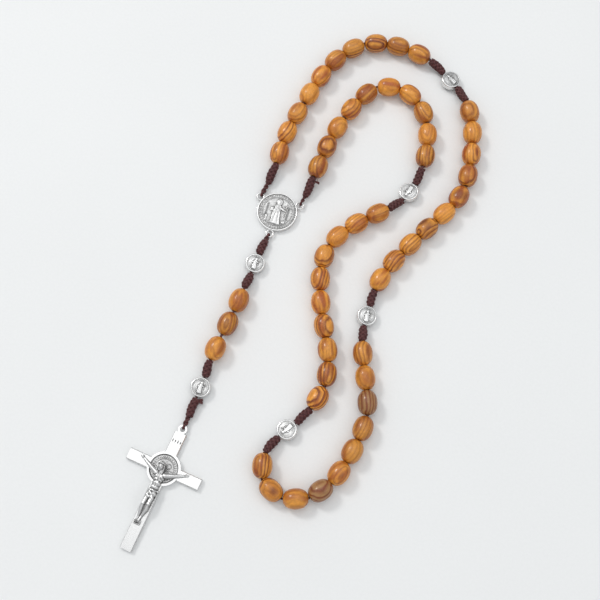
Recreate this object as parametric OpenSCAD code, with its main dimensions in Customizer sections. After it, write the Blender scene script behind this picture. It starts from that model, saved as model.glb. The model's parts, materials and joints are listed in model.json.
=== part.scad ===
/* [Beads] */
// Length of one wooden bead along the cord
bead_len = 9.6; // [9.2:0.1:9.7]
// Largest diameter of a bead
bead_dia = 7.8; // [7:0.1:8.4]
// Diameter of the hole through a bead
bead_bore = 1.8; // [1.6:0.1:2]
// Wall left around the hole at each end of a bead
bead_lip = 0.15; // [0.1:0.05:0.3]

/* [Cord] */
// Diameter of the waxed cord
cord_dia = 1.2; // [1:0.1:1.3]
// Diameter of the two strands twisted together beside a ring
neck_dia = 1.7; // [1.4:0.1:2]
// Diameter of one strand where it wraps a ring
wrap_dia = 0.76; // [0.6:0.02:0.8]

/* [Knots] */
// Diameter of a wound knot at its middle
knot_dia = 3.2; // [2.8:0.1:3.6]
// Diameter of a knot at its ends
knot_end_dia = 2.2; // [2:0.1:2.6]
// Length of the two knots beside the centre medal
end_knot_len = 8.6; // [7:0.2:9]
// Length of the knots beside each of the four loop medals
loop_knot_lens = [7.9, 6.4, 7.8, 7.4];
// Lengths of the four knots of the pendant, from the top
drop_knot_lens = [6.4, 6.8, 6.6, 7.8];

/* [Small medals] */
// Diameter of a small medal
medal_dia = 8.2; // [7.6:0.2:9]
// Thickness of a small medal at its crown
medal_thick = 3.4; // [3:0.1:4]
// Thickness of a small medal at its rim
medal_rim_thick = 2.6; // [2.4:0.1:2.8]
// Diameter of the hole across a small medal
medal_bore = 1.7; // [1.5:0.1:1.8]
// Turn of the small medals about the cord
medal_roll = -7; // [-10:1:10]

/* [Centre medal] */
// Diameter of the centre medal
centre_dia = 17; // [16:0.5:17.5]
// Thickness of the centre medal
centre_thick = 2.2; // [1.8:0.1:2.4]
// Distance from the medal's centre to the middle of each ring
ring_reach = 10; // [9.9:0.1:10.3]
// Outer diameter of a cast ring
ring_dia = 3.7; // [3.5:0.1:3.8]
// Diameter of the hole in a cast ring
ring_bore = 2.2; // [2.1:0.1:2.3]
// Thickness of a cast ring
ring_thick = 0.8; // [0.7:0.05:0.85]

/* [Crucifix] */
// Height of the cross without its ring
cross_len = 49; // [46:1:52]
// Width across the arms
cross_span = 31; // [29:1:33]
// Width of the upright
post_w = 5.1; // [4.6:0.1:5.6]
// Width of the arms
arm_w = 4.7; // [4.2:0.1:5.2]
// Thickness of the cross
cross_thick = 2; // [1.8:0.1:2.2]
// Outer diameter of the halo
halo_dia = 13.4; // [12.5:0.1:14]
// Height from the corpus feet to the crown of the head
corpus_len = 26; // [24:1:28]
// Turn of the crucifix on the table
cross_turn = -24; // [-30:1:-10]

/* [Hidden] */
$fn = 48;

wood = "peru";
silver = "silver";
maroon = "#4b2429";

// Counts: beads in a decade, decades, items from one decade to the next
decade_beads = 10;
decades = 5;
decade_step = decade_beads + 3;

// Heights of the cord's axis above the table
bead_z = bead_dia / 2 + 0.05;
medal_z = 2.2;
ring_z = 1.4;

// Extra cord at a bending point and where a strand turns sharply
hinge_slack = 0.6;
turn_slack = 0.55;
// Shortest way from a bending point to the next cord, past the rounded cord end
socket_depth = 0.12;

// Directions of the centre medal's rings, anticlockwise from +X
left_ring_angle = 135;
right_ring_angle = 17;
lower_ring_angle = 252;

function around(angle, reach) = reach * [cos(angle), sin(angle)];
left_ring = around(left_ring_angle, ring_reach);
right_ring = around(right_ring_angle, ring_reach);
lower_ring = around(lower_ring_angle, ring_reach);
cross_ring = [-37, -92];

// The loop's route over the table, from the left ring to the right ring
loop_via = concat([left_ring], [
    [-2, 17], [1, 26], [4, 36], [9, 45], [14, 54], [19, 63], [26, 71], [34, 77],
    [44, 79], [54, 77], [63, 73], [71, 67], [77, 60], [81, 53], [84, 44], [84, 34],
    [83, 24], [81, 14], [77, 5], [70, -2], [62, -9], [55, -16], [48, -23], [42, -31],
    [39, -39], [37, -46], [35, -54], [35, -63], [36, -73], [37, -83], [35, -92],
    [30, -101], [25, -110], [17, -117], [7, -120], [-3, -116], [-6, -106], [-2, -98],
    [5, -92], [12, -86], [18, -79], [21, -69], [21, -59], [19, -49], [18, -38],
    [18, -28], [20, -18], [27, -10], [35, -5], [44, -1], [52, 4], [58, 11], [62, 19],
    [64, 27], [65, 37], [63, 47], [57, 55], [47, 58], [38, 54], [31, 45], [25, 37],
    [21, 28], [17, 19], [14, 11]
], [right_ring]);

// The pendant's route, from the lower ring to the crucifix ring
drop_via = concat([lower_ring], [
    [-6, -15], [-9, -23], [-12, -31], [-16, -41], [-20, -50], [-25, -60], [-28, -69],
    [-31, -77], [-34, -85]
], [cross_ring]);

// Lengths of twisted cord between a ring's middle and the nearest knot
left_lead = 6.8;
right_lead = 4.6;
lower_lead = 3.8;
cross_lead = 5.6;

// What is strung, in order
function bead_at(decade, n) = (decade - 1) * decade_step + n;
function knot_before(k) = bead_at(k, decade_beads) + 1;
function medal_at(k) = knot_before(k) + 1;
function knot_after(k) = medal_at(k) + 1;
beads_of_decade = [for (i = [1:decade_beads]) "bead"];
loop_kinds = concat(
    ["knot"],
    [for (d = [1:decades]) each concat(beads_of_decade, d < decades ? ["knot", "medal", "knot"] : [])],
    ["knot"]
);
loop_last = len(loop_kinds) - 1;
loop_lens = [for (i = [0:loop_last])
    loop_kinds[i] == "bead" ? bead_len
    : loop_kinds[i] == "medal" ? medal_dia
    : i == 0 || i == loop_last ? end_knot_len
    : loop_knot_lens[floor((i - 1) / decade_step)]];
drop_kinds = ["knot", "medal", "knot", "bead", "bead", "bead", "knot", "medal", "knot"];
drop_last = len(drop_kinds) - 1;
drop_lens = [for (i = [0:drop_last])
    drop_kinds[i] == "bead" ? bead_len
    : drop_kinds[i] == "medal" ? medal_dia
    : drop_knot_lens[i == 0 ? 0 : i == 2 ? 1 : i == 6 ? 2 : 3]];

// The item before each bending point, and before each sharp turn
loop_hinges = [
    bead_at(1, 3), bead_at(1, 7), bead_at(1, 10), bead_at(2, 4), bead_at(3, 3),
    bead_at(4, 1), knot_after(4), bead_at(5, 2), bead_at(5, 5), bead_at(5, 7)
];
loop_turns = concat(
    [for (n = [7:10]) bead_at(3, n)],
    [bead_at(3, 8), bead_at(3, 9), bead_at(4, 7)],
    [for (n = [3:5]) bead_at(5, n)]
);
drop_hinges = [2, 3, 4];
drop_turns = [4];

// A smooth line through points, and places along it
spline_steps = 8;
function spline_point(a, b, c, d, t) =
    0.5 * (2 * b + (c - a) * t + (2 * a - 5 * b + 4 * c - d) * t * t
        + (3 * b - a - 3 * c + d) * t * t * t);
function with_ends(v) = let (n = len(v)) concat([2 * v[0] - v[1]], v, [2 * v[n - 1] - v[n - 2]]);
function smooth(v) = let (e = with_ends(v)) concat(
    [for (i = [1:len(e) - 3], k = [0:spline_steps - 1])
        spline_point(e[i - 1], e[i], e[i + 1], e[i + 2], k / spline_steps)],
    [v[len(v) - 1]]);
function running_len(v) =
    [for (i = 0, s = 0; i < len(v); i = i + 1, s = s + (i < len(v) ? norm(v[i] - v[i - 1]) : 0)) s];
function line_table(line) = let (s = running_len(line))
    [for (axis = [0, 1]) [for (i = [0:len(line) - 1]) [s[i], line[i][axis]]]];
function line_len(table) = table[0][len(table[0]) - 1][0];
function place_on(table, s) = [lookup(s, table[0]), lookup(s, table[1])];

// Where each item starts and ends: an even gap fills the route
function total(v, i = 0) = i < len(v) ? v[i] + total(v, i + 1) : 0;
function times_in(i, v) = len([for (x = v) if (x == i) x]);
function slack_after(i, hinges, turns) =
    hinge_slack * times_in(i, hinges) + turn_slack * times_in(i, turns);
function even_gap(table, lens, hinges, turns, leads) =
    (line_len(table) - leads - total(lens) - hinge_slack * len(hinges) - turn_slack * len(turns))
    / (len(lens) - 1);
function starts(lens, first, gap, hinges, turns) =
    [for (i = 0, s = first; i < len(lens); s = s + lens[i] + gap + slack_after(i, hinges, turns), i = i + 1) s];
function near_bead(kinds, i) = kinds[i] == "bead" || kinds[i + 1] == "bead";
function height_after(kinds, i) =
    i < 0 || i >= len(kinds) - 1 ? ring_z + 0.4 : near_bead(kinds, i) ? bead_z : medal_z;
function item_ends(via, kinds, lens, hinges, turns, first, last) =
    let (
        table = line_table(smooth(via)),
        gap = even_gap(table, lens, hinges, turns, first + last),
        from = starts(lens, first, gap, hinges, turns)
    )
    [for (i = [0:len(lens) - 1]) [
        concat(place_on(table, from[i]), [height_after(kinds, i - 1)]),
        concat(place_on(table, from[i] + lens[i]), [height_after(kinds, i)])
    ]];
loop_ends = item_ends(loop_via, loop_kinds, loop_lens, loop_hinges, loop_turns, left_lead, right_lead);
drop_ends = item_ends(drop_via, drop_kinds, drop_lens, drop_hinges, drop_turns, lower_lead, cross_lead);

// Directions and middles
function unit(v) = v / norm(v);
function axis_of(ends) = unit(ends[1] - ends[0]);
function middle(a, b) = (a + b) / 2;
function gap_middle(ends, i) = middle(ends[i][1], ends[i + 1][0]);
function gap_axis(ends, i) = unit(axis_of(ends[i]) + axis_of(ends[i + 1]));

// Stands a shape drawn along Z on the line between two points
module along(ends) {
    d = ends[1] - ends[0];
    translate(middle(ends[0], ends[1]))
        rotate([0, atan2(norm([d[0], d[1]]), d[2]), atan2(d[1], d[0])])
            children();
}

// A cord: rings of points, each given by its middle, direction and radius
cord_sides = 8;
function ring_points(middle, axis, radius) =
    let (side = unit(cross(axis, [0, 0, 1])), up = cross(side, axis))
    [for (k = [0:cord_sides - 1])
        middle + radius * (cos(360 * k / cord_sides) * side + sin(360 * k / cord_sides) * up)];
module tube(rings) {
    last = len(rings) - 1;
    points = [for (r = rings) each ring_points(r[0], r[1], r[2])];
    cap = [for (k = [cord_sides - 1:-1:0]) k];
    end_cap = [for (k = [0:cord_sides - 1]) last * cord_sides + k];
    sides = [for (j = [0:last - 1], k = [0:cord_sides - 1])
        let (a = j * cord_sides + k, b = j * cord_sides + (k + 1) % cord_sides)
        each [[a, b, a + cord_sides], [b, b + cord_sides, a + cord_sides]]];
    polyhedron(points = points, faces = concat([cap], sides, [end_cap]));
}

// The rounded cord end at a bending point
cord_r = cord_dia / 2;
end_round = 0.7;
function round_end(point, axis) = [
    [point, axis, cord_r],
    [point + end_round * cord_r * axis, axis, end_round * cord_r]
];
// Cord through neighbouring beads or medals, from a knot or a bending point to the next
function first_ring(ends, kinds, hinges, i) =
    kinds[i - 1] == "knot" && times_in(i - 1, hinges) == 0
    ? [ends[i - 1][1], axis_of(ends[i - 1]), cord_r]
    : [ends[i][0] + socket_depth * axis_of(ends[i]), axis_of(ends[i]), cord_r];
function last_rings(ends, kinds, hinges, i) =
    kinds[i + 1] == "knot" && times_in(i, hinges) == 0
    ? [[ends[i + 1][0], axis_of(ends[i + 1]), cord_r]]
    : round_end(gap_middle(ends, i), axis_of(ends[i]));
function cord_rings(ends, kinds, hinges, first, last) = concat(
    [first_ring(ends, kinds, hinges, first)],
    [for (i = [first:1:last - 1]) [gap_middle(ends, i), gap_axis(ends, i), cord_r]],
    last_rings(ends, kinds, hinges, last));
function run_end(kinds, i, last) = i == last || kinds[i + 1] == "knot" ? i : run_end(kinds, i + 1, last);
module cord(ends, kinds, hinges, span) {
    color(maroon) {
        for (i = [span[0]:span[1]])
            if (kinds[i] != "knot" && (i == span[0] || kinds[i - 1] == "knot"))
                tube(cord_rings(ends, kinds, hinges, i, run_end(kinds, i, span[1])));
        if (kinds[span[1]] == "knot" && times_in(span[1], hinges) > 0)
            tube(concat([[ends[span[1]][1], axis_of(ends[span[1]]), cord_r]],
                round_end(gap_middle(ends, span[1]), axis_of(ends[span[1]]))));
    }
}
module loop_cord(span) cord(loop_ends, loop_kinds, loop_hinges, span);
module drop_cord(span) cord(drop_ends, drop_kinds, drop_hinges, span);

// Items of each strand between two bending points
outer_left = [0, bead_at(1, 3)];
outer_rise = [bead_at(1, 4), bead_at(1, 7)];
outer_crown = [bead_at(1, 8), bead_at(1, 10)];
outer_turn = [knot_before(1), bead_at(2, 4)];
outer_right = [bead_at(2, 5), bead_at(3, 3)];
heel = [bead_at(3, 4), bead_at(4, 1)];
inner_right = [bead_at(4, 2), knot_after(4)];
inner_turn = [bead_at(5, 1), bead_at(5, 2)];
inner_crown = [bead_at(5, 3), bead_at(5, 5)];
inner_rise = [bead_at(5, 6), bead_at(5, 7)];
inner_left = [bead_at(5, 8), loop_last];

// The strand that wraps a ring, and the two strands twisted together beside it
rim_middle = (ring_dia + ring_bore) / 4;
wrap_reach = 0.97;
wrap_gap = 0.04;
// The right ring's strand has more play than the others, because its strands close the loop
open_wrap_reach = 1.05;
open_wrap_dia = 0.6;
module wrap_and_neck(ring, knot_end, knot_axis, reach = wrap_reach, dia = wrap_dia) {
    away = unit([knot_end[0] - ring[0], knot_end[1] - ring[1], 0]);
    wrap_middle = [ring[0], ring[1], ring_z] + rim_middle * away;
    neck_start = wrap_middle + (reach + dia / 2 + wrap_gap) * away;
    color(maroon) {
        translate(wrap_middle)
            rotate([90, 0, atan2(away[1], away[0])])
                rotate_extrude()
                    translate([reach, 0])
                        circle(d = dia, $fn = 24);
        tube([[neck_start, away, neck_dia / 2], [knot_end, knot_axis, neck_dia / 2]]);
    }
}

// One oval bead, drawn round the cord's axis
bead_end_r = bead_bore / 2 + bead_lip;
bead_steps = 14;
function oval_r(z, len, dia, end_r) =
    dia / 2 * sqrt(1 - (1 - pow(2 * end_r / dia, 2)) * pow(2 * z / len, 2));
module bead() {
    color(wood)
        rotate_extrude()
            polygon(concat(
                [[bead_bore / 2, bead_len / 2], [bead_bore / 2, -bead_len / 2]],
                [for (k = [0:bead_steps]) let (z = bead_len * (k / bead_steps - 0.5))
                    [oval_r(z, bead_len, bead_dia, bead_end_r), z]]
            ));
}
module loop_beads(first, last) {
    for (i = [first:last])
        along(loop_ends[i]) bead();
}
module drop_bead(i) along(drop_ends[i]) bead();

// One wound knot, with a groove between its turns
knot_turn = 1.5;
knot_groove = 0.12;
knot_steps = 28;
function knot_r(t, turns) =
    knot_end_dia / 2 + (knot_dia - knot_end_dia) / 2 * sqrt(sin(180 * t))
    - knot_groove * (1 + cos(360 * turns * t)) / 2;
module knot(len) {
    turns = round(len / knot_turn);
    color(maroon)
        rotate_extrude($fn = 32)
            polygon(concat(
                [[0, len / 2], [0, -len / 2]],
                [for (k = [0:knot_steps]) [knot_r(k / knot_steps, turns), len * (k / knot_steps - 0.5)]]
            ));
}
module loop_knot(i) along(loop_ends[i]) knot(loop_lens[i]);
module drop_knot(i) along(drop_ends[i]) knot(drop_lens[i]);

// The cut cord end that stands out of a finishing knot
tail_dia = 1;
module tail(point, angle, len) {
    color(maroon)
        translate(point)
            rotate([0, 90, angle])
                cylinder(d = tail_dia, h = len, $fn = 24);
}
tail_place = 0.16;
tail_len = 3.2;
tail_spread = 22;
module finished_loop_knot(i) {
    e = loop_ends[i];
    loop_knot(i);
    tail(e[0] + tail_place * (e[1] - e[0]), -20, tail_len);
}
module finished_drop_knot(i) {
    e = drop_ends[i];
    drop_knot(i);
    for (turn = [0, tail_spread])
        tail(e[0] + tail_place * (e[1] - e[0]), turn - 12, tail_len);
}

// One small round medal, bored across for the cord; its face looks along X
medal_lip = 0.6;
medal_field_r = 2.9;
medal_inset = 0.25;
module medal() {
    r = medal_dia / 2;
    rim = medal_rim_thick / 2;
    crown = medal_thick / 2;
    color(silver)
        rotate([0, 0, medal_roll])
            difference() {
                rotate([0, 90, 0])
                    rotate_extrude()
                        polygon([
                            [0, -crown], [medal_field_r - 0.3, 0.1 - crown],
                            [medal_field_r, medal_inset - crown], [r - medal_lip, -rim],
                            [r - 0.15, 0.25 - rim], [r, 0.6 - rim], [r, rim - 0.6],
                            [r - 0.15, rim - 0.25], [r - medal_lip, rim],
                            [medal_field_r, crown - medal_inset], [medal_field_r - 0.3, crown - 0.1],
                            [0, crown]
                        ]);
                cylinder(d = medal_bore, h = 2 * medal_dia, center = true);
            }
}
module loop_medal(i) along(loop_ends[i]) medal();
module drop_medal(i) along(drop_ends[i]) medal();

// A flat cast ring round a vertical hole
module cast_ring(place) {
    translate([place[0], place[1], ring_z - ring_thick / 2])
        difference() {
            cylinder(d = ring_dia, h = ring_thick);
            translate([0, 0, -1])
                cylinder(d = ring_bore, h = ring_thick + 2);
        }
}

// The centre medal: flat back, raised rim, a band and a robed figure
rim_w = 0.7;
rim_h = 0.35;
band_w = 1.5;
module robed_figure(h) {
    linear_extrude(h) {
        polygon([[-1.9, -5], [1.9, -5], [1.3, -0.5], [1.2, 2.4], [-1.2, 2.4], [-1.3, -0.5]]);
        translate([0, 3.4])
            circle(r = 1.05);
        translate([1, 0.6])
            square([2.6, 0.6]);
        translate([3, -1.4])
            square([0.5, 4]);
    }
}
module centre_medal() {
    r = centre_dia / 2;
    field = centre_thick - rim_h;
    figure_turn = -20;
    color(silver) {
        rotate_extrude()
            polygon([
                [0, 0], [r - 0.15, 0], [r, 0.3], [r, centre_thick - 0.2], [r - 0.2, centre_thick],
                [r - rim_w, centre_thick], [r - rim_w - 0.1, field], [r - rim_w - band_w, field],
                [r - rim_w - band_w - 0.1, field + 0.15], [r - rim_w - band_w - 0.35, field + 0.15],
                [r - rim_w - band_w - 0.45, field], [0, field]
            ]);
        translate([0, 0, field])
            rotate([0, 0, figure_turn])
                robed_figure(rim_h);
        for (place = [left_ring, right_ring, lower_ring])
            cast_ring(place);
    }
}

// The crucifix, drawn hanging down -Y from the middle of its ring
ring_to_top = 1.6;
arms_below_top = 15.3;
arms_y = -ring_to_top - arms_below_top;
edge_bevel = 0.35;
halo_rim_w = 0.9;
halo_rise = 0.3;
inlay_gap = 0.05;
inlay_bed = 0.8;
module hung() {
    translate([cross_ring[0], cross_ring[1], 0])
        rotate([0, 0, cross_turn])
            children();
}
module bevelled_bar(w, len) {
    rotate([90, 0, 0])
        linear_extrude(len)
            polygon([
                [-w / 2, 0], [w / 2, 0], [w / 2, cross_thick - edge_bevel],
                [w / 2 - edge_bevel, cross_thick], [edge_bevel - w / 2, cross_thick],
                [-w / 2, cross_thick - edge_bevel]
            ]);
}
module crucifix_cross() {
    halo_r = halo_dia / 2;
    color(silver)
        hung() {
            cast_ring([0, 0]);
            difference() {
                union() {
                    translate([0, -ring_to_top, 0])
                        bevelled_bar(post_w, cross_len);
                    translate([-cross_span / 2, arms_y, 0])
                        rotate([0, 0, 90])
                            bevelled_bar(arm_w, cross_span);
                    translate([0, arms_y, 0])
                        cylinder(r = halo_r, h = cross_thick + halo_rise);
                }
                translate([0, arms_y, inlay_bed])
                    cylinder(r = halo_r - halo_rim_w, h = 2 * cross_thick);
            }
        }
}
module cross_medal() {
    color(silver)
        hung()
            translate([0, arms_y, inlay_bed])
                cylinder(r = halo_dia / 2 - halo_rim_w - inlay_gap, h = cross_thick - inlay_bed);
}

// The corpus, laid on the cross: a plain figure of rounded limbs
corpus_z = cross_thick + halo_rise + 0.1;
head_y = arms_y + 2.4;
feet_y = head_y + 2 - corpus_len;
hand_x = 10.4;
hand_y = arms_y + 2.8;
pin_dia = 0.8;
module limb(a, ra, b, rb) {
    hull() {
        translate(a) sphere(r = ra, $fn = 20);
        translate(b) sphere(r = rb, $fn = 20);
    }
}
module corpus() {
    z = corpus_z;
    shoulder_y = arms_y - 0.6;
    hip_y = arms_y - 9.4;
    knee_y = arms_y - 14.2;
    color(silver)
        hung() {
            intersection() {
                union() {
                    translate([0, head_y, z + 0.9]) sphere(r = 1.7, $fn = 28);
                    limb([0, shoulder_y, z + 0.4], 2.1, [0, hip_y, z + 0.2], 1.8);
                    for (side = [-1, 1]) {
                        limb([1.6 * side, shoulder_y, z + 0.4], 1.1, [hand_x * side, hand_y, z], 0.7);
                        limb([0.9 * side, hip_y, z + 0.3], 1.3, [0.8 * side, knee_y, z + 0.7], 1);
                        limb([0.8 * side, knee_y, z + 0.7], 1, [0.3 * side, feet_y + 1, z], 0.8);
                    }
                }
                translate([-cross_span / 2, arms_y - corpus_len, z])
                    cube([cross_span, 2 * corpus_len, halo_dia]);
            }
            for (pin = [[-hand_x, hand_y], [hand_x, hand_y], [0, feet_y + 1]])
                translate([pin[0], pin[1], cross_thick])
                    cylinder(d = pin_dia, h = z - cross_thick + 0.3, $fn = 24);
        }
}

module cord_outer_left() {
    wrap_and_neck(left_ring, loop_ends[0][0], axis_of(loop_ends[0]));
    loop_cord(outer_left);
}
module cord_inner_left() {
    wrap_and_neck(right_ring, loop_ends[loop_last][1], -axis_of(loop_ends[loop_last]),
        open_wrap_reach, open_wrap_dia);
    loop_cord(inner_left);
}
module cord_drop_upper() {
    wrap_and_neck(lower_ring, drop_ends[0][0], axis_of(drop_ends[0]));
    drop_cord([0, 2]);
}
// This neck twists against the last knot, so its flat end stays a little off the knot
twist_gap = 0.3;
module cord_end_loop() {
    ring_middle = [cross_ring[0], cross_ring[1], ring_z];
    knot_end = drop_ends[drop_last][1];
    away = unit(knot_end - ring_middle);
    wrap_and_neck(cross_ring, knot_end - twist_gap * away, away);
}

centre_medal();
crucifix_cross();
cross_medal();
corpus();
loop_medal(medal_at(1));  // medal_loop_1
loop_medal(medal_at(2));  // medal_loop_2
loop_medal(medal_at(3));  // medal_loop_3
loop_medal(medal_at(4));  // medal_loop_4
drop_medal(1);  // medal_drop_upper
drop_medal(7);  // medal_drop_lower
drop_bead(3);  // bead_drop_1
drop_bead(4);  // bead_drop_2
drop_bead(5);  // bead_drop_3
loop_beads(bead_at(1, 1), bead_at(1, 3));  // beads_outer_left
loop_beads(bead_at(1, 4), bead_at(1, 7));  // beads_outer_rise
loop_beads(bead_at(1, 8), bead_at(1, 10));  // beads_outer_crown
loop_beads(bead_at(2, 1), bead_at(2, 4));  // beads_outer_turn
loop_beads(bead_at(2, 5), bead_at(2, 10));  // beads_outer_right_a
loop_beads(bead_at(3, 1), bead_at(3, 3));  // beads_outer_right_b
loop_beads(bead_at(3, 4), bead_at(3, 10));  // beads_heel_a
loop_beads(bead_at(4, 1), bead_at(4, 1));  // beads_heel_b
loop_beads(bead_at(4, 2), bead_at(4, 10));  // beads_inner_right
loop_beads(bead_at(5, 1), bead_at(5, 2));  // beads_inner_turn
loop_beads(bead_at(5, 3), bead_at(5, 5));  // beads_inner_crown
loop_beads(bead_at(5, 6), bead_at(5, 7));  // beads_inner_rise
loop_beads(bead_at(5, 8), bead_at(5, 10));  // beads_inner_left
loop_knot(0);  // knot_left
loop_knot(knot_before(1));  // knot_1_before
loop_knot(knot_after(1));  // knot_1_after
loop_knot(knot_before(2));  // knot_2_before
loop_knot(knot_after(2));  // knot_2_after
loop_knot(knot_before(3));  // knot_3_before
loop_knot(knot_after(3));  // knot_3_after
loop_knot(knot_before(4));  // knot_4_before
loop_knot(knot_after(4));  // knot_4_after
finished_loop_knot(loop_last);  // knot_right
drop_knot(0);  // knot_drop_1
drop_knot(2);  // knot_drop_2
drop_knot(6);  // knot_drop_3
finished_drop_knot(drop_last);  // knot_drop_4
cord_outer_left();
loop_cord(outer_rise);  // cord_outer_rise
loop_cord(outer_crown);  // cord_outer_crown
loop_cord(outer_turn);  // cord_outer_turn
loop_cord(outer_right);  // cord_outer_right
loop_cord(heel);  // cord_heel
loop_cord(inner_right);  // cord_inner_right
loop_cord(inner_turn);  // cord_inner_turn
loop_cord(inner_crown);  // cord_inner_crown
loop_cord(inner_rise);  // cord_inner_rise
cord_inner_left();
cord_drop_upper();
drop_cord([3, 3]);  // cord_drop_bead_1
drop_cord([4, 4]);  // cord_drop_bead_2
drop_cord([5, drop_last]);  // cord_drop_lower
cord_end_loop();
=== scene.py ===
"""Looks of a corded rosary that lies in a loop on a table, built over its CAD frame.

Every piece is made in the row frame, in metres, and rides on a CAD body. The strands' route
points repeat the CAD source's, and everything strung on them is placed along those routes.
"""

import json
import logging
import math
from dataclasses import dataclass, field
from enum import Enum
from typing import Callable, Iterable, Sequence

import bmesh
import bpy
import numpy as np
from mathutils import Matrix, Vector


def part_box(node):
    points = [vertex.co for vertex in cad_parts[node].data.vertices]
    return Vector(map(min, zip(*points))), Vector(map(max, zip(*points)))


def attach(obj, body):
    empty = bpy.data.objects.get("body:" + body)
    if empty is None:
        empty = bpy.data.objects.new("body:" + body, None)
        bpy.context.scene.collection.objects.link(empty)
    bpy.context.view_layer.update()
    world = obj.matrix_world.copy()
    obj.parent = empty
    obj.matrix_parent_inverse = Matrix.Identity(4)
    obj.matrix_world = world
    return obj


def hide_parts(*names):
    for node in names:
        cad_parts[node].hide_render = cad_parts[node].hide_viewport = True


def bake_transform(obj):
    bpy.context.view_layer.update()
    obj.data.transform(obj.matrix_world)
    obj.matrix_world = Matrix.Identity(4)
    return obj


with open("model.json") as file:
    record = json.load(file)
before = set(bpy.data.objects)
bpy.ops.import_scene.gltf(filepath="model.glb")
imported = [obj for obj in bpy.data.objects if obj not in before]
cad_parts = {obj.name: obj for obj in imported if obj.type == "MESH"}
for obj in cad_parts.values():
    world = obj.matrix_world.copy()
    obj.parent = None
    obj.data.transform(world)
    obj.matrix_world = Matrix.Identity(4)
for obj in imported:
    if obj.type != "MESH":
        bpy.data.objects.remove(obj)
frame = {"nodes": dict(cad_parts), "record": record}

logging.basicConfig(level=logging.INFO, format="%(message)s")
log = logging.getLogger("rosary")

MM = 0.001
UP = np.array([0.0, 0.0, 1.0])
Points = np.ndarray
Faces = list[tuple[int, ...]]


# ---------------------------------------------------------------- vectors


def unit(v: Points) -> Points:
    """Returns v scaled to length one."""
    return v / np.linalg.norm(v)


def smooth_step(low: float, high: float, x: Points) -> Points:
    """Returns 0 below low, 1 above high and a smooth rise between them."""
    t = np.clip((x - low) / (high - low), 0.0, 1.0)
    return t * t * (3 - 2 * t)


def heading(angle: float, reach: float = 1.0) -> Points:
    """Returns the flat vector of that length at that angle in degrees from +X."""
    return np.array([math.cos(math.radians(angle)), math.sin(math.radians(angle)), 0.0]) * reach


# ---------------------------------------------------------------- layout


class Kind(Enum):
    """What is strung on the cord."""

    BEAD = "bead"
    KNOT = "knot"
    MEDAL = "medal"


@dataclass(frozen=True)
class Item:
    """One strung item: its kind, and where it starts and ends along the cord, in metres."""

    kind: Kind
    start: Points
    end: Points

    @property
    def middle(self) -> Points:
        """Halfway along the item."""
        return (self.start + self.end) / 2

    @property
    def axis(self) -> Points:
        """Direction from its start to its end."""
        return unit(self.end - self.start)

    @property
    def length(self) -> float:
        """Its length along the cord."""
        return float(np.linalg.norm(self.end - self.start))


@dataclass(frozen=True)
class Sizes:
    """Driving sizes that the CAD source states, in metres."""

    bead_len: float = 9.6 * MM
    bead_dia: float = 7.8 * MM
    bead_bore: float = 1.8 * MM
    bead_lip: float = 0.15 * MM
    cord_dia: float = 1.2 * MM
    medal_dia: float = 8.2 * MM
    medal_bore: float = 1.7 * MM
    medal_roll: float = -7.0
    ring_dia: float = 3.7 * MM
    ring_bore: float = 2.2 * MM
    ring_thick: float = 0.8 * MM
    ring_z: float = 1.4 * MM
    medal_z: float = 2.2 * MM
    hinge_slack: float = 0.6 * MM
    turn_slack: float = 0.55 * MM

    @property
    def bead_z(self) -> float:
        """Height of the cord's axis inside the beads."""
        return self.bead_dia / 2 + 0.05 * MM


SIZES = Sizes()
RING_REACH = 10 * MM
LEFT_RING = heading(135, RING_REACH)
RIGHT_RING = heading(17, RING_REACH)
LOWER_RING = heading(252, RING_REACH)
CROSS_RING = np.array([-37.0, -92.0, 0.0]) * MM
DECADE = 10
DECADE_STEP = DECADE + 3


def bead_at(decade: int, n: int) -> int:
    """Returns the place in the loop of bead n of a decade, both counted from 1."""
    return (decade - 1) * DECADE_STEP + n


def medal_at(k: int) -> int:
    """Returns the place in the loop of medal k, which follows decade k."""
    return bead_at(k, DECADE) + 2


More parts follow.
